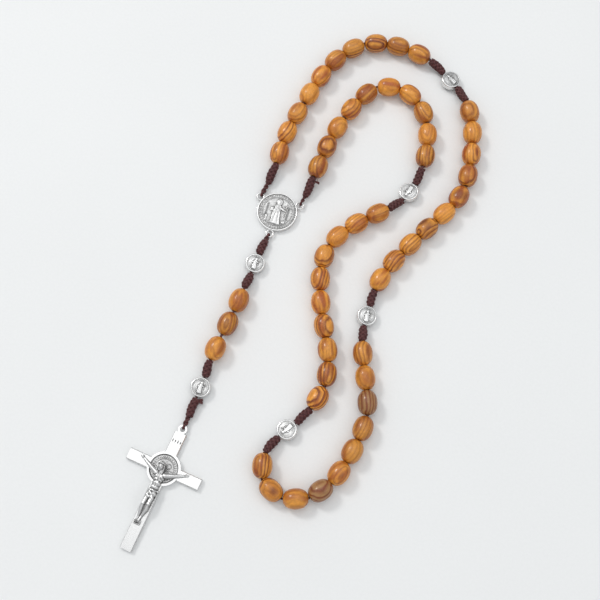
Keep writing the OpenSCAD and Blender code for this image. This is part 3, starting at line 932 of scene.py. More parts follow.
LOOP_STRETCHES = (
    Stretch("outer_left", 0, bead_at(1, 3)),
    Stretch("outer_rise", bead_at(1, 4), bead_at(1, 7)),
    Stretch("outer_crown", bead_at(1, 8), bead_at(1, 10)),
    Stretch("outer_turn", bead_at(1, 11), bead_at(2, 4)),
    Stretch("outer_right", bead_at(2, 5), bead_at(3, 3)),
    Stretch("heel", bead_at(3, 4), bead_at(4, 1)),
    Stretch("inner_right", bead_at(4, 2), bead_at(4, 13)),
    Stretch("inner_turn", bead_at(5, 1), bead_at(5, 2)),
    Stretch("inner_crown", bead_at(5, 3), bead_at(5, 5)),
    Stretch("inner_rise", bead_at(5, 6), bead_at(5, 7)),
    Stretch("inner_left", bead_at(5, 8), bead_at(5, 11)),
)
DROP_STRETCHES = (
    Stretch("drop_upper", 0, 2),
    Stretch("drop_strand_1", 3, 3),
    Stretch("drop_strand_2", 4, 4),
    Stretch("drop_lower", 5, 8),
)


@dataclass
class BeadMaker:
    """The oval beads: one turned template, threaded on the cord by geometry nodes."""

    finishes: Finishes
    length: float = 9.98 * MM
    dia: float = 8.16 * MM
    fullness: float = 2.22
    steps_round: int = 48
    steps_along: int = 30
    end_round: float = 0.12 * MM
    rng: np.random.Generator = field(default_factory=lambda: np.random.default_rng(11))
    template: bpy.types.Object = field(init=False)

    def __post_init__(self) -> None:
        """Turns the template."""
        points, faces = lathe(self.outline(), self.steps_round)
        self.template = make_mesh("bead_template", points, faces)
        self.template.hide_render = True

    def outline(self) -> list[tuple[float, float]]:
        """Returns the bead's half section: a full oval side, a rounded lip and the bore."""
        half, bore, end = self.length / 2, SIZES.bead_bore / 2, SIZES.bead_bore / 2 + SIZES.bead_lip
        sag = 1 - (2 * end / self.dia) ** self.fullness
        side = []
        for k in range(self.steps_along + 1):
            z = -half * math.cos(math.pi * k / self.steps_along)
            share = 1 - sag * abs(z / half) ** self.fullness
            side.append((self.dia / 2 * share ** (1 / self.fullness), z))
        lip = half - self.end_round
        return [*side[1:-1], (end, lip), (bore, half - self.end_round / 3), (bore, 0.0),
                (bore, -half + self.end_round / 3), (end, -lip)]

    def build(
        self, name: str, beads: Sequence[Item], body: str, nodes: Sequence[str], numbers: Sequence[int]
    ) -> None:
        """Makes the beads of one body.

        Args:
            name: The piece's name.
            beads: The strung beads.
            body: The CAD body.
            nodes: The CAD nodes they stand for.
            numbers: Each bead's number, which picks its piece of wood.
        """
        mesh = bpy.data.meshes.new(name)
        mesh.from_pydata([tuple(b.middle) for b in beads], [], [])
        axes = np.array([b.axis for b in beads], np.float32)
        mesh.attributes.new("axis", "FLOAT_VECTOR", "POINT").data.foreach_set("vector", axes.ravel())
        rolls = self.rng.uniform(0, 2 * math.pi, len(beads)).astype(np.float32)
        mesh.attributes.new("roll", "FLOAT", "POINT").data.foreach_set("value", rolls)
        kinds = np.array(numbers, np.float32)
        mesh.attributes.new("kind", "FLOAT", "POINT").data.foreach_set("value", kinds)
        obj = bpy.data.objects.new(name, mesh)
        bpy.context.scene.collection.objects.link(obj)
        values = {"Bead": self.template, "Seed": int(numbers[0]), "Material": self.finishes.wood}
        apply_tree(obj, self.finishes.string, values)
        obj.data.shade_smooth()
        add_piece(obj, body, nodes)

    def finish(self) -> None:
        """Removes the template."""
        bpy.data.objects.remove(self.template)


@dataclass
class CordMaker:
    """The cord that runs through the beads and medals, and over each bending point."""

    finishes: Finishes
    lobes: int = 3
    lobe_depth: float = 0.22
    pitch: float = 3.6 * MM
    overlap: float = 1.6 * MM

    def run(self, items: Sequence[Item]) -> Points:
        """Returns the line of the cord through neighbouring items."""
        line = [items[0].start + items[0].axis * 0.3 * MM]
        for a, b in zip(items, items[1:]):
            line += [a.end - a.axis * 0.5 * MM, (a.end + b.start) / 2, b.start + b.axis * 0.5 * MM]
        return np.array([*line, items[-1].end - items[-1].axis * 0.3 * MM])

    def build(self, items: Sequence[Item], stretch: Stretch, extra: Sequence[bpy.types.Object]) -> None:
        """Makes the cord of one body.

        Args:
            items: The strand's items.
            stretch: The part of the strand.
            extra: Pieces at the origin that belong to the same CAD node, such as a neck.
        """
        lines = [self.run(items[stretch.first : stretch.last + 1])]
        name = f"cord_{stretch.body}"
        cord = self.finishes.swept(
            name, lines, SIZES.cord_dia / 2, sides=18, lobes=self.lobes,
            lobe_depth=self.lobe_depth, pitch=self.pitch,
        )
        if extra:
            cord = merge(name, [cord, *extra])
        add_piece(cord, stretch.body, body_nodes(stretch.body, "cord"))

    def bend(self, a: Item, b: Item, body_a: str, body_b: str) -> None:
        """Makes the short cord over a bending point, which bends between two bodies."""
        start, end = a.end - a.axis * self.overlap, b.start + b.axis * self.overlap
        line = [start]
        for k in range(13):
            t = k / 12
            line.append((1 - t) * (a.end - a.axis * 0.2 * MM) + t * (b.start + b.axis * 0.2 * MM))
        cord = self.finishes.swept(
            f"cord_bend_{body_b}", [np.array([*line, end])], SIZES.cord_dia / 2, sides=18,
            lobes=self.lobes, lobe_depth=self.lobe_depth, pitch=self.pitch,
        )
        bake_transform(cord)
        log.info("%s: bends between %s and %s", cord.name, body_a, body_b)


@dataclass
class KnotMaker:
    """The wound knots: strands woven both ways round a core."""

    finishes: Finishes
    dia: float = 3.8 * MM
    end_dia: float = 2.95 * MM
    strands: int = 4
    strand_dia: float = 1.04 * MM
    weave: float = 0.19 * MM
    turn: float = 7.2 * MM
    steps: int = 44

    def centre(self, item: Item, t: Points) -> Points:
        """Returns the knot's middle line, which leans a little from side to side."""
        side = unit(np.cross(UP, item.axis))
        sway = 0.14 * MM * np.sin(2 * math.pi * t + 9 * item.middle[0] / MM)
        return item.start + np.outer(t, item.end - item.start) + np.outer(sway, side)

    def build(self, name: str, item: Item) -> bpy.types.Object:
        """Makes one knot.

        Args:
            name: The piece's name.
            item: Where it lies.

        Returns:
            The knot, at the origin.
        """
        t = np.linspace(0.015, 0.985, self.steps)
        middle = self.centre(item, t)
        side = unit(np.cross(UP, item.axis))
        rise = np.cross(item.axis, side)
        fat = np.sqrt(np.clip(np.sin(math.pi * np.clip(t, 0, 1)), 0, 1))
        outer = (self.end_dia + (self.dia - self.end_dia) * fat) / 2
        outer *= 1 + 0.04 * np.sin(5.1 * t + 7 * item.middle[1] / MM)
        ring = outer - self.strand_dia / 2 - self.weave / 2
        angle = 2 * math.pi * t * item.length / self.turn
        lines = []
        for way in (1, -1):
            for k in range(self.strands):
                lift = way * self.weave * np.cos(self.strands * angle)
                a = 2 * math.pi * k / self.strands + way * angle
                r = ring + lift
                lines.append(middle + np.outer(r * np.cos(a), side) + np.outer(r * np.sin(a), rise))
        girths = [0.82 + 0.18 * np.sin(math.pi * t) for _ in lines]
        woven = self.finishes.swept(
            name, lines, self.strand_dia / 2, girths, sides=12, lobes=5, lobe_depth=0.16, pitch=2.2 * MM
        )
        girth = np.clip(ring / MM, 0.2, 2)
        core = self.finishes.swept(f"{name}_core", [middle], 1.0 * MM, [girth], sides=16)
        return merge(name, [woven, core])

    def tail(self, name: str, item: Item, angle: float, length: float, dia: float) -> bpy.types.Object:
        """Makes a cut cord end that stands out of a knot, with its strands spreading at the tip."""
        base = item.start + 0.16 * (item.end - item.start)
        out, across = heading(angle), heading(angle + 90)
        lines, girths = [], []
        t = np.linspace(0, 1, 14)
        for k in range(3):
            turn = 2 * math.pi * k / 3 + 3.2 * t
            spread = 0.26 * MM * (1 + 0.5 * smooth_step(0.7, 1.0, t))
            sag = -0.5 * MM * t**2
            line = base + np.outer(t * length, out) + np.outer(spread * np.cos(turn), across)
            line[:, 2] += spread * np.sin(turn) + sag
            lines.append(line)
            girths.append(1 - 0.25 * smooth_step(0.75, 1.0, t))
        return self.finishes.swept(name, lines, dia * 0.27, girths, sides=10)

    def loose_thread(self, name: str, item: Item, angle: float, length: float) -> bpy.types.Object:
        """Makes the thin thread that has come away beside the cut end."""
        base = item.start + 0.16 * (item.end - item.start) + heading(angle, length)
        t = np.linspace(0, 1, 24)
        line = base + np.outer(-0.4 * MM * t - 0.5 * MM * np.sin(2.6 * t), heading(angle))
        line += np.outer(3.6 * MM * t, heading(angle + 104))
        line[:, 2] += -0.4 * MM + 1.6 * MM * np.sin(2.2 * t)
        return self.finishes.swept(name, [line], 0.09 * MM, sides=8)


@dataclass
class NeckMaker:
    """Two strands twisted together between a ring and a knot, and their turn through the ring."""

    finishes: Finishes
    strand_dia: float = 1.1 * MM
    reach: float = 0.94 * MM
    pitch: float = 3.8 * MM
    arc: float = 118.0

    def build(self, name: str, ring: Points, knot_end: Points) -> bpy.types.Object:
        """Makes one neck.

        Args:
            name: The object's name.
            ring: The ring's middle, on the floor plan.
            knot_end: The near end of the knot.

        Returns:
            The neck, at the origin.
        """
        flat = knot_end - ring
        away = unit(np.array([flat[0], flat[1], 0.0]))
        side = np.cross(UP, away)
        rim = ring + away * (SIZES.ring_dia + SIZES.ring_bore) / 4 + UP * SIZES.ring_z
        turn = np.radians(np.linspace(180 - self.arc, 180 + self.arc, 41))
        loop = rim + np.outer(self.reach * np.cos(turn), away) + np.outer(self.reach * np.sin(turn), UP)
        start = rim + away * self.reach * math.cos(math.radians(180 - self.arc))
        t = np.linspace(0, 1, 34)[1:]
        span = np.linalg.norm(knot_end - start)
        half = self.strand_dia / 2
        wide = self.reach * math.sin(math.radians(self.arc))
        spread = half + (wide - half) * (1 - smooth_step(0, 0.3, t))
        angle = math.pi / 2 + 2 * math.pi * t * span / self.pitch
        spine = start + np.outer(t, knot_end - start)
        twist = np.outer(spread * np.cos(angle), side) + np.outer(spread * np.sin(angle), UP)
        path = np.concatenate([(spine + twist)[::-1], loop, spine - twist])
        return self.finishes.swept(name, [path], half, sides=12, lobes=3, lobe_depth=0.2, pitch=1.6 * MM)


# ---------------------------------------------------------------- cast silver


def inside(distance: Points, soft: float = 0.12) -> Points:
    """Returns 1 well inside a shape and 0 outside it, from its signed distance in millimetres."""
    return 1 - smooth_step(-soft, soft * 0.3, distance)


def capsule(x: Points, y: Points, a: tuple, b: tuple, ra: float, rb: float | None = None) -> Points:
    """Returns the signed distance to a rounded bar from a to b, of radius ra at a and rb at b."""
    rb = ra if rb is None else rb
    dx, dy = b[0] - a[0], b[1] - a[1]
    t = np.clip(((x - a[0]) * dx + (y - a[1]) * dy) / max(dx * dx + dy * dy, 1e-9), 0, 1)
    return np.hypot(x - a[0] - t * dx, y - a[1] - t * dy) - (ra + (rb - ra) * t)


def robed_figure(x: Points, y: Points) -> Points:
    """Returns the height, from 0 to 1, of a generic robed figure 10 mm tall that holds a staff cross.

    Args:
        x: Places across, in millimetres.
        y: Places up, in millimetres, the feet near -5 and the crown near 4.6.

    Returns:
        The height at each place.
    """
    width = np.interp(y, [-5.0, -3.5, 0.0, 1.9, 2.5], [2.15, 1.75, 1.25, 1.25, 0.6])
    robe = np.maximum(np.abs(x + 0.05 * y) - width, np.maximum(-5.0 - y, y - 2.5))
    folds = 0.5 + 0.5 * np.cos(5.2 * (x + 0.05 * y) / width * 1.35)
    height = inside(robe, 0.35) * (0.62 + 0.26 * folds * smooth_step(2.0, -1.0, y))
    mantle = capsule(x, y, (-0.55, 1.7), (-1.25, -2.6), 0.75, 0.5)
    height = np.maximum(height, 0.82 * inside(mantle, 0.25))
    sleeve = capsule(x, y, (0.9, 1.3), (2.35, 0.7), 0.5, 0.38)
    sleeve = np.minimum(sleeve, capsule(x, y, (-0.8, 1.1), (0.5, 0.2), 0.42))
    height = np.maximum(height, 0.92 * inside(sleeve, 0.2))
    book = np.maximum(np.abs(x + 2.0) - 0.55, np.abs(y - 0.3) - 0.75)
    height = np.maximum(height, 0.78 * inside(book, 0.14))
    staff = capsule(x, y, (2.75, -1.6), (2.85, 3.1), 0.17)
    staff = np.minimum(staff, capsule(x, y, (2.05, 2.2), (3.6, 2.2), 0.17))
    height = np.maximum(height, 0.72 * inside(staff, 0.12))
    hood = np.hypot(x, (y - 3.35) * 0.86) - 1.12
    face = np.hypot(x, (y - 3.3) * 0.84) - 0.72
    height = np.maximum(height, 0.70 * inside(hood, 0.25))
    height = np.maximum(height, (0.86 + 0.14 * np.clip(1 - x * x * 3, 0, 1)) * inside(face, 0.3))
    eyes = np.hypot((np.abs(x) - 0.27) * 0.8, y - 3.42) - 0.08
    nose = capsule(x, y, (0.0, 3.42), (0.0, 3.05), 0.05, 0.09)
    beard = capsule(x, y, (0.0, 2.72), (0.0, 2.2), 0.46, 0.2)
    height = np.maximum(height - 0.16 * inside(eyes, 0.1), 0.86 * inside(beard, 0.22))
    height = height + 0.06 * inside(nose, 0.06)
    cup = capsule(x, y, (-3.25, -3.6), (-3.25, -2.6), 0.22, 0.5)
    cup = np.minimum(cup, np.hypot(x + 3.25, y + 4.1) - 0.45)
    bird = capsule(x, y, (3.4, -3.2), (3.7, -2.5), 0.26, 0.2)
    bird = np.minimum(bird, np.hypot((x - 3.1) * 0.8, y + 3.6) - 0.55)
    return np.maximum(height, 0.6 * inside(np.minimum(cup, bird), 0.2))


def band_marks(radius: Points, angle: Points, middle: float, reach: float, cells: int, seed: int) -> Points:
    """Returns the height, from 0 to 1, of a band of plain strokes and dots that spells nothing.

    Args:
        radius: Distance of each place from the middle, in millimetres.
        angle: Direction of each place, in radians.
        middle: The band's middle radius.
        reach: Half of the strokes' length.
        cells: Number of marks round the band.
        seed: Picks the marks.

    Returns:
        The height at each place.
    """
    rng = np.random.default_rng(seed)
    pick, lean = rng.integers(0, 4, cells), rng.uniform(-0.5, 0.5, cells)
    turn = (angle / (2 * math.pi) * cells) % cells
    cell = np.clip(turn.astype(int), 0, cells - 1)
    pitch = 2 * math.pi * middle / cells
    u = (turn - cell - 0.5) * pitch
    v = radius - middle
    stroke = np.maximum(np.abs(u - lean[cell] * v * 0.6) - 0.13 * pitch, np.abs(v) - reach)
    dots = np.hypot(u, np.abs(v) - reach * 0.6) - 0.17 * pitch
    leaf = np.hypot(np.abs(u) + 0.55 * pitch, v * 0.75) - 0.78 * pitch
    lozenge = (np.abs(u) / (0.30 * pitch) + np.abs(v) / reach - 1) * 0.25 * pitch
    shape = np.choose(pick[cell], [stroke, dots, np.maximum(leaf, np.abs(v) - reach), lozenge])
    return inside(shape, 0.09)


@dataclass(frozen=True)
class ReliefDisc:
    """A round relief on a grid of rings and spokes, with its own recess map."""

    radius: float
    height: Callable[[Points, Points], Points]
    rings: int = 92
    spokes: int = 240
    tarnish: float = 0.05
    depth: float = 0.55
    polished: float = 0.0

    def mean_height(self, x: Points, y: Points, reach: float) -> Points:
        """Returns the mean height of eight places round each place, in millimetres."""
        turns = np.arange(8) * math.pi / 4
        return sum(self.height(x + reach * math.cos(a), y + reach * math.sin(a)) for a in turns) / 8

    def places(self) -> tuple[Points, Points]:
        """Returns the grid's places in millimetres, the middle first and then ring by ring."""
        r = np.linspace(0, self.radius, self.rings + 1)[1:]
        a = np.arange(self.spokes) * 2 * math.pi / self.spokes
        rr, aa = np.meshgrid(r, a, indexing="ij")
        x, y = rr * np.cos(aa), rr * np.sin(aa)
        return np.concatenate([[0], x.ravel()]), np.concatenate([[0], y.ravel()])

    def build(self) -> tuple[Points, Faces, Points]:
        """Returns the surface's points in millimetres, its faces and its patina."""
        x, y = self.places()
        z = self.height(x, y)
        step = 0.06
        slope = np.hypot(self.height(x + step, y) - self.height(x - step, y),
                         self.height(x, y + step) - self.height(x, y - step)) / (2 * step)
        near, broad = self.mean_height(x, y, 0.3), self.mean_height(x, y, 0.95)
        sunk = 7.0 * np.clip(near - z, 0, 0.2) + 4.2 * np.clip(broad - z, -0.02, 0.14)
        patina = np.clip(self.tarnish + self.depth * (0.42 * np.clip(slope, 0, 1.5) + sunk), 0, 1)
        edge = self.radius - self.polished
        patina = np.minimum(patina, 0.06 + smooth_step(edge + 0.08, edge - 0.08, np.hypot(x, y)))
        n = self.spokes
        faces: Faces = [(0, 1 + j, 1 + (j + 1) % n) for j in range(n)]
        for i in range(self.rings - 1):
            a, b = 1 + i * n, 1 + (i + 1) * n
            faces += [(a + j, b + j, b + (j + 1) % n, a + (j + 1) % n) for j in range(n)]
        return np.column_stack([x, y, z]), faces, patina


@dataclass(frozen=True)
class CastRing:
    """A cast ring of rounded section, flat on its plane."""

    sides: int = 20
    steps: int = 56

    def build(self, place: Points) -> tuple[Points, Faces]:
        """Returns the points, in metres, and the faces of a ring at that place."""
        middle = (SIZES.ring_dia + SIZES.ring_bore) / 4
        half = (SIZES.ring_dia - SIZES.ring_bore) / 4
        outline = [
            (middle + half * math.cos(a), SIZES.ring_thick / 2 * math.sin(a))
            for a in np.arange(self.sides) * 2 * math.pi / self.sides
        ]
        points, faces = lathe(outline, self.steps)
        return points + place + UP * SIZES.ring_z, faces


@dataclass
class CentreMedal:
    """The centre medal: a polished rim, a band of marks and a robed figure, with three rings."""

    finishes: Finishes
    dia_mm: float = 17.0
    thick_mm: float = 2.2
    rim_w: float = 0.52
    rim_h: float = 0.24
    band_w: float = 1.6
    figure_turn: float = -17.0
    figure_size: float = 1.2
    edge_round: float = 0.22

    def height(self, x: Points, y: Points) -> Points:
        """Returns the top's height in millimetres at places in millimetres."""
        r, a = np.hypot(x, y), np.arctan2(y, x)
        edge = self.dia_mm / 2
        field_z = self.thick_mm - self.rim_h
        rim = smooth_step(edge - self.rim_w - 0.12, edge - self.rim_w + 0.1, r)
        fall = np.clip((r - edge + self.edge_round) / self.edge_round, 0, 1)
        top = self.rim_h * rim - self.edge_round * (1 - np.sqrt(np.clip(1 - fall * fall, 0, 1)))
        inner = edge - self.rim_w - self.band_w
        line = inside(np.abs(r - inner) - 0.11, 0.1)
        beading = inside(np.hypot((a * inner / 0.5 % 1 - 0.5) * 0.5, r - inner + 0.38) - 0.13, 0.08)
        marks = band_marks(r, a, inner + self.band_w / 2 + 0.03, 0.46, 46, 5)
        turn = math.radians(self.figure_turn)
        u, v = x * math.cos(turn) + y * math.sin(turn), -x * math.sin(turn) + y * math.cos(turn)
        size = self.figure_size
        figure = robed_figure(u / size, (v - 0.35) / size) * (r < inner + 1.1)
        flanks = inside(np.abs((v * 1.6) % 1.0 - 0.5) - 0.2, 0.1)
        flanks = flanks * inside(np.abs(np.abs(u) - 4.55) - 0.5, 0.2)
        flanks = 0.6 * flanks * (r < inner - 0.7) * (np.abs(v) < 2.9)
        raised = np.maximum.reduce([0.16 * line, 0.12 * beading, 0.18 * marks, 0.30 * figure, 0.3 * flanks])
        pebble = 0.026 * np.sin(7 * x + 3 * np.sin(5 * y)) * np.sin(6 * y + 2 * np.sin(7 * x)) * (1 - rim)
        return field_z + top + raised + pebble

    def build(self) -> None:
        """Makes the medal with its rings and hands it over."""
        relief = ReliefDisc(
            self.dia_mm / 2, self.height, rings=120, spokes=320, tarnish=0.3, depth=0.5, polished=self.rim_w
        )
        points, faces, patina = relief.build()
        n, first = relief.spokes, len(points) - relief.spokes
        rim = points[first:]
        wall = []
        for z, r in ((1.4, 1.0), (0.7, 1.0), (0.15, 1.0), (0.0, 0.985)):
            level = rim.copy()
            level[:, :2] *= r
            level[:, 2] = z
            wall.append(level)
        start = len(points)
        points = np.concatenate([points, *wall, [[0, 0, 0]]])
        rows = [first] + [start + k * n for k in range(len(wall))]
        for a, b in zip(rows, rows[1:]):
            faces += [(a + j, b + j, b + (j + 1) % n, a + (j + 1) % n) for j in range(n)]
        last = len(points) - 1
        faces += [(rows[-1] + j, last, rows[-1] + (j + 1) % n) for j in range(n)]
        patina = np.concatenate([patina, np.full(len(points) - len(patina), 0.08)])
        disc = make_mesh("centre_medal_disc", points * MM, faces, self.finishes.silver, {"patina": patina})
        rings = []
        for k, place in enumerate((LEFT_RING, RIGHT_RING, LOWER_RING)):
            ring_points, ring_faces = CastRing().build(place)
            values = {"patina": np.full(len(ring_points), 0.1)}
            rings.append(
                make_mesh(f"centre_ring_{k}", ring_points, ring_faces, self.finishes.silver, values)
            )
        medal = merge("centre_medal_relief", [disc, *rings])
        add_piece(medal, "root", ["centre_medal"])


@dataclass
class SmallMedal:
    """A small round medal with a relief on both faces, bored across for the cord."""

    finishes: Finishes
    rim_half: float = 1.3
    crown_half: float = 1.5
    edge_half: float = 0.8
    master: bpy.types.Object = field(init=False)

    def __post_init__(self) -> None:
        """Makes the master medal once, with its bore cut."""
        self.master = self.make_master()

    def height(self, x: Points, y: Points) -> Points:
        """Returns a face's height above the medal's middle plane, in millimetres."""
        edge = SIZES.medal_dia / 2 / MM
        r, a = np.hypot(x, y), np.arctan2(y, x)
        fall = np.clip((r - edge + 0.45) / 0.45, 0, 1)
        drop = (self.rim_half - self.edge_half) * (1 - np.sqrt(np.clip(1 - fall * fall, 0, 1)))
        dish = 0.16 * (1 - smooth_step(edge - 0.72, edge - 0.56, r))
        crown = (self.crown_half - self.rim_half) * np.clip(1 - (r / (edge - 0.6)) ** 2, 0, 1)
        oval = np.hypot(x * 1.18, y)
        line = inside(np.abs(oval - 2.62) - 0.07, 0.08)
        marks = band_marks(r, a, edge - 0.98, 0.26, 26, 8)
        figure = robed_figure(x * 1.9, y * 1.9) * (oval < 2.55)
        raised = np.maximum.reduce([0.14 * line, 0.13 * marks * (oval > 2.8), 0.24 * figure])
        return self.rim_half - dish + crown - drop + raised

    def make_master(self) -> bpy.types.Object:
        """Returns the medal in millimetres: faces along +X and -X, the cord along Z."""
        relief = ReliefDisc(
            SIZES.medal_dia / 2 / MM, self.height, rings=64, spokes=150,
            tarnish=0.14, depth=0.9, polished=0.6,
        )
        top, faces, patina = relief.build()
        n, count = relief.spokes, len(top)
        # the face's right stays +Y and its up becomes -Z on both sides
        front = np.column_stack([top[:, 2], -top[:, 0], -top[:, 1]])
        back = np.column_stack([-top[:, 2], top[:, 0], -top[:, 1]])
        points = np.concatenate([front, back])
        first = count - n
        flip = [tuple(count + i for i in f) for f in faces]
        facing = [count + first + (n // 2 - j) % n for j in range(n + 1)]
        wall = [(first + j, facing[j], facing[j + 1], first + (j + 1) % n) for j in range(n)]
        obj = make_mesh(
            "medal_master", points, [*faces, *flip, *wall], self.finishes.silver,
            {"patina": np.concatenate([patina, patina])},
        )
        self.face_outwards(obj)
        bore_r = SIZES.medal_bore / 2 / MM
        ends, cutter_faces = lathe([(bore_r, -6.0), (bore_r, 6.0), (0.0, 6.0), (0.0, -6.0)], 32)
        cutter = make_mesh("medal_bore", ends, cutter_faces, self.finishes.silver)
        self.face_outwards(cutter)
        cut = obj.modifiers.new("bore", "BOOLEAN")
        cut.operation, cut.solver, cut.object = "DIFFERENCE", "EXACT", cutter
        baked(obj)
        bpy.data.objects.remove(cutter)
        obj.hide_render = True
        return obj

    @staticmethod
    def face_outwards(obj: bpy.types.Object) -> None:
        """Merges doubled points and turns every face outwards."""
        work = bmesh.new()
        work.from_mesh(obj.data)
        bmesh.ops.remove_doubles(work, verts=work.verts, dist=1e-5)
        bmesh.ops.recalc_face_normals(work, faces=work.faces)
        work.to_mesh(obj.data)
        work.free()

    def build(self, node: str, item: Item, body: str) -> None:
        """Makes the medal that stands for a CAD node."""
        mesh = self.master.data.copy()
        mesh.name = f"{node}_relief"
        mesh.transform(standing_on(item.middle, item.axis, SIZES.medal_roll) @ Matrix.Scale(MM, 4))
        obj = bpy.data.objects.new(mesh.name, mesh)
        bpy.context.scene.collection.objects.link(obj)
        mesh.shade_smooth()
        add_piece(obj, body, [node])

    def finish(self) -> None:
        """Removes the master."""
        bpy.data.objects.remove(self.master)


@dataclass
class Crucifix:
    """The cross's own relief and its figure, laid on the bars that CAD makes."""

    finishes: Finishes
    turn: float = -24.0
    arms_down: float = 16.9
    inlay_r: float = 5.75
    inlay_z: float = 2.0
    top_z: float = 2.0

    def place(self) -> Matrix:
        """Returns the move from millimetres about the crossing of the bars to the row frame."""
        turn = Matrix.Rotation(math.radians(self.turn), 4, "Z")
        down = Matrix.Translation((0, -self.arms_down * MM, 0))
        return Matrix.Translation(Vector(CROSS_RING)) @ turn @ down @ Matrix.Scale(MM, 4)

    def inlay_height(self, x: Points, y: Points) -> Points:
        """Returns the halo inlay's height in millimetres."""
        r, a = np.hypot(x, y), np.arctan2(y, x)
        lines = inside(np.minimum(np.abs(r - 5.45), np.abs(r - 3.95)) - 0.1, 0.1)
        marks = band_marks(r, a, 4.7, 0.42, 34, 21)
        petals = inside(np.abs(np.hypot(np.abs(x) - 1.5, np.abs(y) - 1.5) - 0.95) - 0.14, 0.1) * (r < 3.8)
        bars = inside(np.minimum(np.maximum(np.abs(x) - 0.16, np.abs(y) - 3.5),
                                 np.maximum(np.abs(y) - 0.16, np.abs(x) - 3.5)), 0.12)
        raised = np.maximum.reduce([0.16 * lines, 0.16 * marks, 0.16 * petals, 0.12 * bars])
        return self.inlay_z - 0.2 + raised - 0.1 * smooth_step(self.inlay_r - 0.15, self.inlay_r, r)

    def inlay(self) -> None:
        """Makes the halo's inlay disc."""
        relief = ReliefDisc(self.inlay_r, self.inlay_height, rings=70, spokes=200, tarnish=0.2, depth=0.8)
        points, faces, patina = relief.build()
        n, first = relief.spokes, len(points) - relief.spokes
        low = points[first:].copy()
        low[:, 2] = 0.8
        start = len(points)
        points = np.concatenate([points, low, [[0, 0, 0.8]]])
        faces += [(first + j, start + j, start + (j + 1) % n, first + (j + 1) % n) for j in range(n)]
        faces += [(start + j, start + n, start + (j + 1) % n) for j in range(n)]
        patina = np.concatenate([np.clip(patina + 0.06, 0, 1), np.full(n + 1, 0.6)])
        obj = make_mesh("cross_inlay_relief", moved(points, self.place()), faces, self.finishes.silver,
                        {"patina": patina})
        add_piece(obj, "crucifix", ["cross_medal"])

    def title_marks(self) -> None:
        """Makes the small dark marks near the top of the upright: a row of lozenges."""
        base = self.arms_down - 5.3
        points, faces = [], []
        for x in (-1.65, -0.55, 0.55, 1.65):
            points += [(x, base - 0.9, 0), (x + 0.3, base, 0), (x, base + 0.9, 0), (x - 0.3, base, 0)]
            faces.append(tuple(range(len(points) - 4, len(points))))
        flat = np.array(points, float)
        low, high = flat + [0, 0, self.top_z - 0.05], flat + [0, 0, self.top_z + 0.012]
        count = len(flat)
        solid = [tuple(count + i for i in f) for f in faces] + [tuple(reversed(f)) for f in faces]
        for f in faces:
            solid += [(f[i], f[(i + 1) % 4], count + f[(i + 1) % 4], count + f[i]) for i in range(4)]
        points = moved(np.concatenate([low, high]), self.place())
        obj = make_mesh("title_marks", points, solid, self.finishes.silver,
                        {"patina": np.full(2 * count, 0.85)}, smooth=False)
        add_piece(obj, "crucifix")

    def build(self) -> None:
        """Makes the inlay, the title marks and the figure."""
        self.inlay()
        self.title_marks()
        Corpus(self.finishes, self.place(), self.top_z).build()


